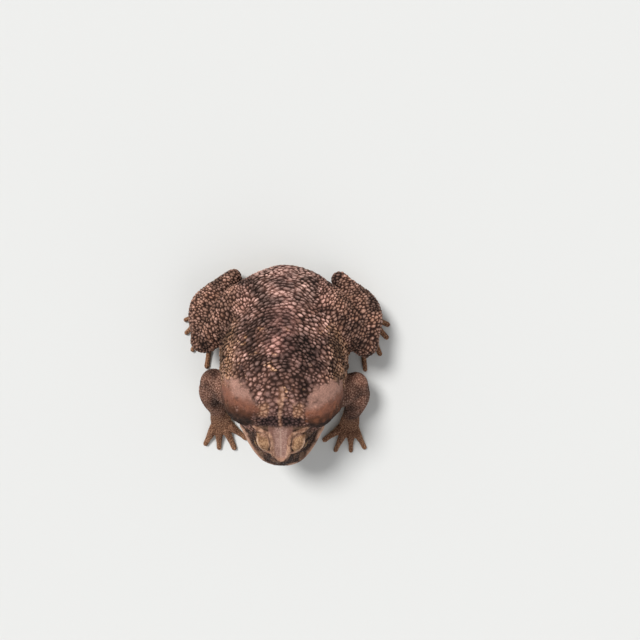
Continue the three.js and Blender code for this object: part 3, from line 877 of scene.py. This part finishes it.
def scatter(points, spacing, stretch, direction, first=0):
    """Picks points at random, none nearer to one picked before than the spacing there."""
    rng = np.random.default_rng(SEED)
    order = np.argsort(rng.uniform(0, 1, len(points)) - first)
    tree = tree_of(points)
    covered = np.zeros(len(points), bool)
    chosen = []
    for i in order:
        if covered[i]:
            continue
        chosen.append(i)
        near = np.array([k for _, k, _ in tree.find_range(points[i], spacing[i] * stretch[i])])
        size = oval_squares(points[near] - points[i], direction[i], stretch[i])
        covered[near[size < spacing[i] ** 2]] = True
    return np.array(chosen)


def nearest_warts(points, places, spacing, stretch, direction):
    """The nearest wart to each point, and how far out in it the point is, from 0 to 1."""
    tree = tree_of(places)
    near = np.array([[k for _, k, _ in tree.find_n(point, NEIGHBOURS)] for point in points])
    size = oval_squares(points[:, None] - places[near], direction[near], stretch[near])
    size = np.sqrt(np.maximum(size, 0)) / spacing[near]
    order = np.argsort(size, axis=1)[:, :2]
    first, second = np.take_along_axis(size, order, axis=1).T
    owner = np.take_along_axis(near, order[:, :1], axis=1)[:, 0]
    return owner, first, 2 * first / (first + second + 1e-9)


def add_warts(points, normals, regions):
    """How high the skin stands, the warts' own tones, and how near their tips each point is."""
    spacing, stretch, height = wart_values(regions, len(points))
    direction = wart_directions(points, normals, regions)
    rng = np.random.default_rng(SEED + 1)
    least, more = WART_SIZES
    sizes = least + more * rng.uniform(0, 1, len(points)) ** 1.6
    spacing = spacing * (1 + 0.15 * lumps(points, 13, 2)) * sizes
    sample = rng.permutation(len(points))[: int(len(points) * WART_SAMPLE)]
    first = 0.5 * wart_rows(points[sample])
    picked = sample[scatter(points[sample], spacing[sample], stretch[sample], direction[sample], first)]
    wobble = np.stack([lumps(points, 2.6, seed) for seed in (3, 4)], -1)[:, [0, 1, 0]] * 0.6
    wobble = wobble + np.stack([lumps(points, 1.3, seed) for seed in (5, 6)], -1)[:, [0, 1, 1]] * 0.3
    owner, reach, out = nearest_warts(
        points + wobble, points[picked], spacing[picked], stretch[picked], direction[picked]
    )
    own = rng.uniform(0.55, 1.3, len(picked))
    tone = rng.uniform(-1, 1, len(picked))
    share = reach / rng.uniform(*WART_WIDTHS, len(picked))[owner]
    bead = 0.4 * np.clip(1 - share**2, 0, 1) ** 0.8 + 0.6 * np.clip(1 - share, 0, 1)
    bead = bead * fall(out, 0.72, 1)
    in_rows = regions["rows"] * ramp(lumps(points, 18, 37), -0.5, 0.4)
    bead = bead + 0.32 * in_rows * (wart_rows(points) - bead)
    return bead, height * own[owner], tone[owner], out


def large_warts(points, regions):
    """How high the few large warts of the back and flanks stand, from 0 to 1."""
    rng = np.random.default_rng(SEED + 2)
    share = (1 - regions["belly"]) * (1 - regions["gland"]) * ramp(points[:, 1], -62, -52)
    share = share * (1 - 0.75 * ramp(points[:, 1], 12, 45))
    for name in ("cheek", "throat", "neck", "upper_arm", "forearm", "hand", "nape"):
        share = share * (1 - regions[name])
    open_skin = np.flatnonzero(share > 0.2)
    sample = rng.permutation(open_skin)[: LARGE_WARTS["tries"]]
    even = np.full(len(sample), LARGE_WARTS["spacing"], float)
    flat = np.zeros((len(sample), 3))
    picked = sample[scatter(points[sample], even, np.ones(len(sample)), flat)]
    high = np.zeros(len(points))
    order = np.argsort(points[:, 1])
    rows = points[order, 1]

    def raise_wart(place, radius):
        start, end = np.searchsorted(rows, [place[1] - radius, place[1] + radius])
        near = order[start:end]
        reach = np.linalg.norm(points[near] - place, axis=1) / radius
        high[near] = np.maximum(high[near], np.clip(1 - reach**2, 0, 1) ** 1.2)

    for i, radius in zip(picked, rng.uniform(*LARGE_WARTS["radius"], len(picked))):
        raise_wart(points[i], radius)
    for x, y, radius in SHOULDER_WARTS:
        close = np.flatnonzero(np.hypot(points[:, 0] - x, points[:, 1] - y) < 2)
        raise_wart(points[close[np.argmax(points[close, 2])]], radius)
    return high * share


def fold_skin(points):
    """How much each point is pressed in by the folds of the skin, in mm."""
    depth = np.zeros(len(points))
    across = np.abs(points[:, 0]) + 2 * lumps(points, 16, 21)
    folded = np.column_stack([across, points[:, 1], points[:, 2]])
    for line, deep, wide in FOLDS:
        line = curve(line, 6)[0]
        near = np.all((folded > line.min(0) - 3 * wide) & (folded < line.max(0) + 3 * wide), axis=1)
        near = np.flatnonzero(near)
        reach, share = nearest_on(line, folded[near])
        ends = ramp(share, 0, 0.2)
        if line[-1][0] > 0:
            ends = ends * fall(share, 0.8, 1)
        depth[near] += deep * ends * (ridge(reach, wide) - 0.45 * ridge(reach - 1.9 * wide, wide))
    return depth


def head_details(points, local, gaps):
    """The mouth line, nostrils, lids' edges and eardrums: lift in mm, and how much each shows."""
    close = np.flatnonzero((local[:, 1] > -6) & (local[:, 1] < 80) & (local[:, 2] > -20))
    here = local[close]
    here[:, 0] = np.abs(here[:, 0])
    side, back, up = here.T

    # Mouth, with swollen lips and a hollow over them
    y = np.linspace(0, MOUTH_CORNER, 40)
    lip, _, _, mouth = between(SKULL, y)
    keep = rounding(y, SNOUT_ROUNDING, SNOUT_SQUARENESS)
    line = (mouth - SKULL_MIDDLE) * keep + SKULL_MIDDLE - 4 * ramp(y, MOUTH_CORNER - 14, MOUTH_CORNER)
    line = np.where(y < SNOUT_ROUNDING, mouth, line)
    above = up - np.interp(back, y, line)
    outside = ramp(side - np.interp(back, y, lip * keep), -5, -3)
    outside = np.maximum(outside, ramp(-back, -2.5, -1))
    groove = ridge(above, 0.8) * outside * ramp(MOUTH_CORNER + 1 - back, 0, 3)
    swell = ridge(above - 3.2, 2.1) * outside * ramp(MOUTH_CORNER - 4 - back, 0, 12)
    hollow = ridge(above - 10, 3.4) * outside * ramp(back, 12, 18) * fall(back, 44, 54)
    lift = 2.8 * swell - 1.5 * hollow - 1.6 * groove

    # Nostrils
    out, along, across = ((here - NOSTRIL["place"]) @ axes(NOSTRIL["out"]).T).T
    reach = np.hypot(along / 1.5, across / 1.05)
    facing = ramp(6 - np.abs(out), 0, 2)
    lift += facing * (0.7 * ridge(reach - 1.6, 0.7) - 1.6 * ridge(reach, 0.85))
    nostril = facing * ridge(reach, 0.95)

    # Lids' edges
    gap = gaps["opening"][close]
    eye = np.linalg.norm(here - EYE["place"], axis=1)
    by_lid = ramp(4 - gaps["lid"][close], 0, 2) * fall(eye, 15, 18)
    lift += by_lid * (0.55 * ridge(gap - 0.7, 0.8) - 0.35 * ridge(gap - 2.6, 0.8))

    # Eardrums
    out, along, across = ((here - EARDRUM["place"]) @ axes(EARDRUM["out"]).T).T
    reach = np.hypot(along / EARDRUM["half"][1], across / EARDRUM["half"][2])
    facing = ramp(9 - np.abs(out), 0, 2)
    lift += facing * (0.6 * ridge(reach - 1.12, 0.12) - 0.5 * fall(reach, 0.7, 1))

    marks = {
        "mouth": groove,
        "nostril": nostril,
        "lid_edge": by_lid * ridge(gap - 0.2, 0.9),
        "eardrum": facing * fall(reach, 0.8, 0.95),
        "drum_edge": facing * ridge(reach - 0.98, 0.1),
    }
    table = np.zeros((len(marks) + 1, len(points)))
    table[:, close] = [lift, *marks.values()]
    return table[0], dict(zip(marks, table[1:]))


# Colours of the skin
def paint_body(s):
    """The back, flanks and legs, in three layers: tips of the warts, their sides and between them. The pale
    tips are partly painted highlight and the dark between them partly painted shade.
    """
    x, y, z = s.x, s.y, s.z
    legs = np.maximum(s.thigh, s.shank)
    dark = ramp(s.broad + 0.6 * lumps(s.points, 11, 9), 0.0, 0.7)
    flecks = ramp(lumps(s.points * [0.6, 1, 1], 2.4, 32), 0.2, 0.5) * ramp(lumps(s.points, 13, 33), 0.3, 0.5)
    shares = {
        "shoulder": s.shoulder * (1 - s.flank),
        "red": fall(x + 7 * s.fine + 5 * s.broad, 6, 24) * ramp(y, 2, 24),
        "dark": np.maximum(0.8 * dark, 0.9 * ramp(s.big, 0.05, 0.4)),
        "legs": legs,
        "rump": ramp(y, 62, 84) * (1 - legs),
        "ochre": s.flank * (1 - s.belly) * (1 - 0.65 * legs),
        "cream": flecks * fall(x, 50, 60) * ramp(y, -48, -38) * fall(y, 40, 55),
        "arms": np.maximum(s.upper_arm, s.forearm),
        "hands": s.hand,
        "soles": s.hand * fall(z + 2 * s.fine, 5, 10),
    }
    tone = s.tone + 0.8 * s.fine
    layers = [
        shade((0.43, 0.305, 0.26), (0.77, 0.615, 0.57), ramp(tone, -0.8, 1.3)),
        shade((0.29, 0.19, 0.155), (0.41, 0.285, 0.24), ramp(tone, -0.9, 0.9)),
        shade((0.16, 0.095, 0.07), (0.10, 0.055, 0.04), ramp(s.broad, -0.6, 0.6)),
    ]
    for name, *tones in TONES:
        for k, layer in enumerate(tones):
            if layer:
                share, *colour = layer
                layers[k] = toned(layers[k], colour, share * shares[name])
    tip, middle, low = layers
    # Dark between the warts and pale on their tips: the skin's own tones, with painted shade in the hollows
    # and painted highlight on the tips
    colour = mix(low, middle, ramp(s.dome + 0.14 * s.grain, 0.02, 0.36))
    colour = mix(colour, tip, ramp(s.dome + 0.2 * s.grain, 0.34, 0.9))
    blotch = 0.95 + 0.8 * lumps(s.points, 10, 34) + 0.6 * lumps(s.points, 20, 35)
    return mix(colour, colour * np.clip(blotch, 0.4, 1.7)[:, None], 1 - s.hand)


def paint_underside(s, colour):
    """Mottled cream below the jaw and the belly, darker between the warts with painted shade."""
    mottle = ramp(s.broad + 0.7 * lumps(s.points, 9, 10) + 0.3 * s.fine, -0.25, 0.45)
    under = shade((0.66, 0.56, 0.43), (0.34, 0.25, 0.19), 0.75 * mottle)
    # Darker between the warts, below and on the jaw: painted shade, with the jaw's paler tips partly painted
    # highlight
    under = mix(under * 0.72, under, ramp(s.dome, 0, 0.5))
    jaw = shade((0.26, 0.18, 0.14), (0.47, 0.36, 0.28), ramp(s.dome + 0.8 * s.fine, 0.1, 1.1))
    return mix(mix(colour, jaw, s.throat), under, s.under)


def paint_nape(s, colour):
    """Dark patches behind the head, paler skin behind them, and the stripe."""
    edge = s.y + 2.5 * s.fine + 0.12 * s.x
    patch = s.nape * ramp(s.x, 1.6, 4) * fall(edge, -54, -49)
    saddle = ramp(s.z, 84, 92) * fall(s.x, 22, 30) * ramp(edge, -53, -48)
    pink = saddle * ramp(s.x, 3, 7) * fall(edge, -36, -24)
    tan = saddle * ramp(s.x + 2 * s.fine, 12, 15) * fall(edge, -37, -30)
    streaky = ramp(s.fine + 0.9 * s.dome, -0.4, 1.2)
    # Each tone is darker between the warts and paler on their tips: partly the skin's own tones, partly
    # painted shade and painted highlight
    for share, low, high, shown in (
        (0.9 * patch, (0.06, 0.035, 0.03), (0.30, 0.21, 0.20), s.dome),
        (0.8 * pink, (0.34, 0.23, 0.20), (0.62, 0.47, 0.43), s.dome),
        (0.75 * tan, (0.44, 0.30, 0.22), (0.76, 0.58, 0.46), s.dome),
        (0.9 * s.stripe, (0.38, 0.25, 0.19), (0.71, 0.545, 0.455), streaky),
    ):
        colour = mix(colour, shade(low, high, shown), share)
    return colour


def paint_glands(s, colour):
    """Glands, pale behind and nearly black in front: partly their own tones, partly painted light on the lit
    rear and top and painted shade in front and underneath, with darker pores.
    """
    streak = lumps(s.points * [1, 0.45, 0.7], 4, 18)
    # Painted light and shade: paler towards each gland's rear and top, where light falls, and darker towards
    # its front, with the light reaching further forward on the toad's left gland
    rise = (s.y + 35 + 0.25 * (44 - s.x)) / 21 + 0.012 * (s.z - 100)
    rise = rise + 0.2 * s.broad + 0.14 * streak + 0.1 * s.fine + 0.3 * ramp(s.points[:, 0], -1, 1)
    gland = shade((0.12, 0.078, 0.06), (0.23, 0.155, 0.12), ramp(s.fine + 0.7 * s.grain, -0.7, 1.0))
    gland = toned(gland, (0.31, 0.19, 0.135), ramp(rise, -1.05, -0.5))
    gland = toned(gland, (0.47, 0.30, 0.235), ramp(rise, -0.45, 0.0))
    gland = toned(gland, (0.60, 0.45, 0.395), ramp(rise, 0.1, 0.65))
    rust = ramp(streak, 0.1, 0.7) * ramp(rise, -0.9, -0.5) * fall(rise, 0.2, 0.6)
    gland = toned(gland, (0.54, 0.33, 0.23), 0.35 * rust)
    gland = gland * (1 + 0.22 * s.grain + 0.1 * lumps(s.points, 2.6, 19))[:, None]
    # Darker pores: painted shade in the pits
    pore = fall(s.out, 0.06, 0.4) * ramp(s.tone, -0.2, 0.4)
    gland = mix(gland, gland * 0.45, 0.8 * pore)
    # Dark brown low on each gland: painted shade underneath
    low = shade((0.20, 0.135, 0.105), (0.34, 0.24, 0.19), ramp(s.fine + 0.6 * s.grain, -0.8, 0.9))
    gland = mix(gland, low, 0.8 * fall(s.z + 6 * s.fine, 70, 86))
    return mix(colour, gland, s.gland)


def paint_head(s, colour):
    """Cheeks, lids, plate, ridges, lips and eardrums, with the eardrums' dark rims and painted shade in the
    lid grooves, mouth line, nostrils and lids' edges.
    """
    fine, grain, dome, side, back = s.fine, s.grain, s.dome, s.side, s.back
    # Cheeks, lids and plate run from darker between the warts to paler on their tips: partly their own
    # tones, partly painted shade and painted highlight
    cheek = shade((0.17, 0.11, 0.085), (0.37, 0.265, 0.215), ramp(dome + 0.9 * fine + 0.3 * grain, 0.1, 1.3))
    cheek = toned(cheek, (0.50, 0.38, 0.30), 0.5 * ramp(lumps(s.points, 7, 22), 0.25, 0.6))
    speck = ramp(0.7 * dome + 0.45 * lumps(s.points, 2.3, 27) + 0.5 * fine, -0.3, 0.95)
    lid = shade((0.45, 0.32, 0.23), (0.69, 0.54, 0.41), speck)
    lid = toned(lid, (0.80, 0.66, 0.56), 0.85 * s.lid_rim)
    plate = shade((0.56, 0.42, 0.37), (0.70, 0.56, 0.51), ramp(dome + 0.6 * fine + 0.4 * grain, -0.2, 1.1))
    ruddy = ramp(side + 3 * fine + 2 * s.broad, 4, 9) * ramp(back + 4 * fine, 22, 34)
    plate = toned(plate, (0.42, 0.275, 0.23), 0.8 * ruddy)
    plate = toned(plate, (0.74, 0.61, 0.55), 0.6 * fall(side, 0.5, 1.5))
    plate = toned(plate, (0.72, 0.52, 0.40), 0.7 * fall(back, 12, 22))
    bone = shade((0.50, 0.355, 0.28), (0.76, 0.59, 0.49), ramp(grain + fine, -0.9, 0.8))
    pale = ramp(fine + 0.4 * grain + lumps(s.points, 9, 23) + 0.03 * (back - 20), -1.1, 0.5)
    lip = shade((0.36, 0.25, 0.20), (0.74, 0.58, 0.49), pale)
    drum = shade((0.29, 0.195, 0.155), (0.41, 0.30, 0.245), ramp(fine + grain, -0.8, 0.8))
    for painted, share in (
        (cheek, s.cheek),
        (lid, s.lid),
        (plate, s.plate),
        (bone, 0.8 * s.crest),
        # painted shade in the groove inside each lid
        (srgb(0.16, 0.095, 0.07), 0.85 * s.lid_groove),
        (lip, 0.9 * s.lip),
        (drum, 0.9 * s.eardrum),
        (srgb(0.10, 0.065, 0.05), 0.85 * s.drum_edge),
        # painted shade in the mouth's groove, the nostrils and the lids' edges by the eyes
        (srgb(0.10, 0.06, 0.045), 0.9 * s.mouth),
        (srgb(0.05, 0.03, 0.025), s.nostril),
        (srgb(0.12, 0.075, 0.055), 0.85 * s.lid_edge),
    ):
        colour = mix(colour, painted, share)
    return colour


def paint_skin(points, local, **shown):
    """The colour of each point, from its place and its share of each region, mark and wart."""
    s = SimpleNamespace(points=points, **shown)
    s.x, s.y, s.z = np.abs(points[:, 0]), points[:, 1], points[:, 2]
    s.side, s.back = np.abs(local[:, 0]), local[:, 1]
    s.broad = lumps(points, 24, 7)
    s.fine = lumps(points, 5, 8)
    s.grain = lumps(points, 1.5, 17)
    colour = paint_body(s)
    for paint in (paint_underside, paint_nape, paint_glands, paint_head):
        colour = paint(s, colour)
    return colour


# Pieces
def add_object(name, data):
    made = bpy.data.objects.new(name, data)
    bpy.context.scene.collection.objects.link(made)
    return made


def mesh_object(name, points, *faces):
    """A piece made from points in mm and arrays of faces."""
    mesh = bpy.data.meshes.new(name)
    sizes = np.concatenate([np.full(len(part), part.shape[1]) for part in faces])
    starts = np.concatenate([[0], np.cumsum(sizes)[:-1]])
    corners = np.concatenate([part.ravel() for part in faces])
    mesh.vertices.add(len(points))
    mesh.vertices.foreach_set("co", (points * MM).astype(np.float32).ravel())
    mesh.loops.add(len(corners))
    mesh.loops.foreach_set("vertex_index", corners.astype(np.int32))
    mesh.polygons.add(len(sizes))
    mesh.polygons.foreach_set("loop_start", starts.astype(np.int32))
    mesh.update(calc_edges=True)
    mesh.shade_smooth()
    return add_object(name, mesh)


def store_colour(mesh, colour):
    layer = mesh.color_attributes.new("paint", "FLOAT_COLOR", "POINT")
    values = np.hstack([colour, np.ones((len(colour), 1))]).astype(np.float32)
    layer.data.foreach_set("color", values.ravel())


def fill(node, values):
    """Sets a node's inputs, each to a value or from another node's output."""
    for key, value in values.items():
        if isinstance(value, bpy.types.NodeSocket):
            node.id_data.links.new(value, node.inputs[key])
        else:
            node.inputs[key].default_value = value


def add_node(tree, kind, output, values=(), **settings):
    """An output of a new node that has these inputs and settings."""
    node = tree.nodes.new("ShaderNode" + kind)
    for key, value in settings.items():
        setattr(node, key, value)
    fill(node, dict(values))
    return node.outputs[output]


def add_material(mesh, name, shading):
    """A material whose shader's inputs are what shading makes in its tree."""
    material = bpy.data.materials.new(name)
    material.use_nodes = True
    tree = material.node_tree
    fill(tree.nodes["Principled BSDF"], shading(tree))
    mesh.materials.append(material)


def make_skin():
    clay, forms = shape_toad()
    points, quads = refined(*surface_of(clay))
    del clay
    normals = surface_normals(points, quads)
    if np.sum(normals[:, 2] * points[:, 2]) < 0:
        quads, normals = quads[:, ::-1], -normals
    local = to_head(points)
    gaps = {name: form.at(points) for name, form in forms.items() if name != "trunk"}
    regions = find_regions(points, normals, local, gaps)
    detail, show = head_details(points, local, gaps)
    plain = np.clip(show["eardrum"] + show["nostril"] + show["mouth"] + show["lid_edge"], 0, 1)
    dome, height, tone, out = add_warts(points, normals, regions)
    big = large_warts(points, regions)
    covered = ramp(big, 0.05, 0.45)
    height = height * (1 - 0.6 * covered)
    middle = fall(np.abs(points[:, 0]), 6, 20) * ramp(points[:, 1], 5, 20)
    flat = (1 - plain) * (1 - 0.55 * regions["stripe"]) * (1 - 0.35 * middle) * (1 - regions["crest"])
    lift = detail + (dome - WART_FOOT) * height * flat - fold_skin(points)
    gland = regions["gland"]
    lift += gland * (1.5 * lumps(points, 14, 16) + 0.5 * lumps(points, 5, 11) + 0.1 * lumps(points, 1.8, 15))
    lift -= 0.35 * gland * fall(out, 0.05, 0.4) * ramp(tone, -0.2, 0.4)
    lift -= 0.8 * regions["lid_groove"]
    lift += 0.1 * (1 - gland) * lumps(points, 1.4, 14)
    lift += 0.8 * (1 - regions["cheek"]) * lumps(points, 21, 20)
    lift += LARGE_WARTS["height"] * big
    dome = dome * (1 - 0.6 * covered) + 0.6 * covered * (0.1 + 0.9 * big)
    points = points + normals * lift[:, None]
    points[:, 2] = np.maximum(points[:, 2], 0)
    skin = mesh_object("skin", points, quads)
    colour = paint_skin(points, local, dome=dome, tone=tone, out=out, big=big, **regions, **show)
    store_colour(skin.data, colour)
    rough = 0.9 - 0.58 * ramp(dome, 0.35, 0.9)
    for level, share in (
        (0.5, regions["plate"]),
        (0.86 - 0.3 * ramp(points[:, 1], -48, -28), gland),
        (0.8, np.maximum(show["mouth"], show["nostril"])),
    ):
        rough = rough + (level - rough) * share
    layer = skin.data.attributes.new("roughness", "FLOAT", "POINT")
    layer.data.foreach_set("value", rough.astype(np.float32))
    add_material(skin.data, "toad_skin", skin_shading)
    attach(skin, "root")
    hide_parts(*[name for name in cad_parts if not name.startswith("eye_")])


def skin_shading(tree):
    """Skin in the painted colours, with grain too fine for the mesh."""
    place = add_node(tree, "TexCoord", "Object")
    grain = add_node(tree, "TexNoise", "Fac", {"Vector": place, **GRAIN})
    pebbles = add_node(tree, "TexVoronoi", "Distance", {"Vector": place, "Scale": PEBBLES}, feature="F1")
    spread = {"Value": grain, "From Min": 0.3, "From Max": 0.7}
    darker = add_node(tree, "MapRange", "Result", {**spread, "To Min": 0.7, "To Max": 1.24})
    paint = add_node(tree, "Attribute", "Color", attribute_name="paint")
    tint = {"Factor": 1, "A": paint, "B": darker}
    colour = add_node(tree, "Mix", "Result", tint, data_type="RGBA", blend_type="MULTIPLY")
    uneven = add_node(tree, "MapRange", "Result", {**spread, "To Min": -0.08, "To Max": 0.1})
    rough = add_node(tree, "Attribute", "Fac", attribute_name="roughness")
    rough = add_node(tree, "Math", "Value", {0: rough, 1: uneven}, operation="ADD")
    coarse = add_node(tree, "Bump", "Normal", {**BUMPS, "Height": pebbles}, invert=True)
    normal = add_node(tree, "Bump", "Normal", {**BUMPS, "Height": grain, "Normal": coarse})
    return {"Base Color": colour, "Roughness": rough, "Normal": normal, "Specular IOR Level": SKIN_GLOSS}


def make_eye(side):
    """An eye with a bronze iris and a level pupil, whose clear front stands a little proud."""

    def surface(u, v):
        around, down = 2 * math.pi * u, math.pi * v
        wide = np.sin(down)
        local = np.stack([np.cos(down), wide * np.cos(around), wide * np.sin(around)], -1)
        bulge = 1 + EYE_BULGE * fall(down, 0.2, 0.75)
        return local * EYE["radius"] * bulge[..., None]

    points, triangles, quads = shell(surface, 128, 96)
    placed = from_head(points @ axes(unit(EYE["out"])) + np.array(EYE["place"]))
    name = "eye_" + side
    eye = mesh_object(name + "_ball", placed * [1 if side == "left" else -1, 1, 1], triangles, quads)
    if side == "right":
        eye.data.flip_normals()
    store_colour(eye.data, paint_eye(unit(points)))
    add_material(eye.data, "eye", eye_shading)
    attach(eye, "root")
    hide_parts(name)


def paint_eye(gaze):
    level, tall = gaze[:, 1], gaze[:, 2]
    reach = np.hypot(level, tall)
    angle = np.arctan2(tall, level)
    rays = lumps(np.stack([np.cos(angle) * 9, np.sin(angle) * 9, reach * 3], -1), 0.6, 30)
    flecks = lumps(gaze * 10, 0.7, 31)
    iris = shade((0.22, 0.13, 0.06), (0.58, 0.40, 0.18), ramp(0.7 * rays + 0.6 * flecks, -0.5, 0.7))
    iris = toned(iris, (0.07, 0.045, 0.03), ramp(reach, 0.6, 0.72))
    pupil = np.hypot(level / 0.36, tall / 0.2)
    iris = toned(iris, (0.75, 0.58, 0.30), fall(np.abs(pupil - 1.06), 0.02, 0.14))
    colour = toned(iris, (0.002, 0.002, 0.002), fall(pupil, 0.98, 1.04))
    return np.where((gaze[:, 0] < 0)[:, None], srgb(0.07, 0.045, 0.03), colour)


def eye_shading(tree):
    paint = add_node(tree, "Attribute", "Color", attribute_name="paint")
    return {"Base Color": paint, "Roughness": EYE_ROUGHNESS, "Specular IOR Level": EYE_GLOSS}


# Camera, light and floor
def set_camera():
    camera = bpy.data.cameras.new("camera")
    camera.sensor_fit = "HORIZONTAL"
    camera.angle = VIEW_ANGLE
    camera.clip_start = 0.01
    back = Vector((0, math.sin(CAMERA_TILT), math.cos(CAMERA_TILT)))
    up = Vector((0, math.cos(CAMERA_TILT), -math.sin(CAMERA_TILT)))
    turn = Matrix((up.cross(back), up, back)).transposed() @ Matrix.Rotation(CAMERA_ROLL, 3, "Z")
    pixel = 2 * CAMERA_DISTANCE * math.tan(VIEW_ANGLE / 2) / FRAME_WIDTH
    half = FRAME_WIDTH / 2
    across, down = BACK_MIDDLE_PIXEL
    local = Vector(((across - half) * pixel, (half - down) * pixel, -CAMERA_DISTANCE))
    place = Vector(BACK_MIDDLE) - turn @ local
    made = add_object("camera", camera)
    made.matrix_world = Matrix.Translation(place * MM) @ turn.to_4x4()
    bpy.context.scene.camera = made


def set_light():
    """A soft sky that pales to the horizon, and two broad lights."""
    world = bpy.data.worlds.new("studio")
    bpy.context.scene.world = world
    world.use_nodes = True
    tree = world.node_tree
    place = add_node(tree, "TexCoord", "Generated")
    height = add_node(tree, "SeparateXYZ", "Z", {"Vector": place})
    levels = {"Value": height, "From Min": 0.1, "From Max": 0.6, "To Min": HORIZON, "To Max": SKY}
    strength = add_node(tree, "MapRange", "Result", levels, interpolation_type="SMOOTHSTEP")
    fill(tree.nodes["Background"], {"Color": SKY_COLOUR, "Strength": strength})
    bpy.context.scene.view_settings.view_transform = "Standard"
    for name, (place, spread, strength) in LIGHTS.items():
        light = bpy.data.lights.new(name, "SUN")
        light.angle = math.radians(spread)
        light.energy = strength
        add_object(name, light).rotation_euler = Vector(place).to_track_quat("Z", "Y").to_euler()


def make_floor():
    mesh = bpy.data.meshes.new("floor")
    r = FLOOR_REACH
    mesh.from_pydata([(-r, -r, 0), (r, -r, 0), (r, r, 0), (-r, r, 0)], [], [(0, 1, 2, 3)])
    add_material(mesh, "floor", lambda tree: FLOOR_LOOK)
    floor = add_object("floor", mesh)


def corners(box):
    return [list(corner) for corner in box]


set_camera()
set_light()
make_floor()
make_skin()
for side in ("left", "right"):
    make_eye(side)
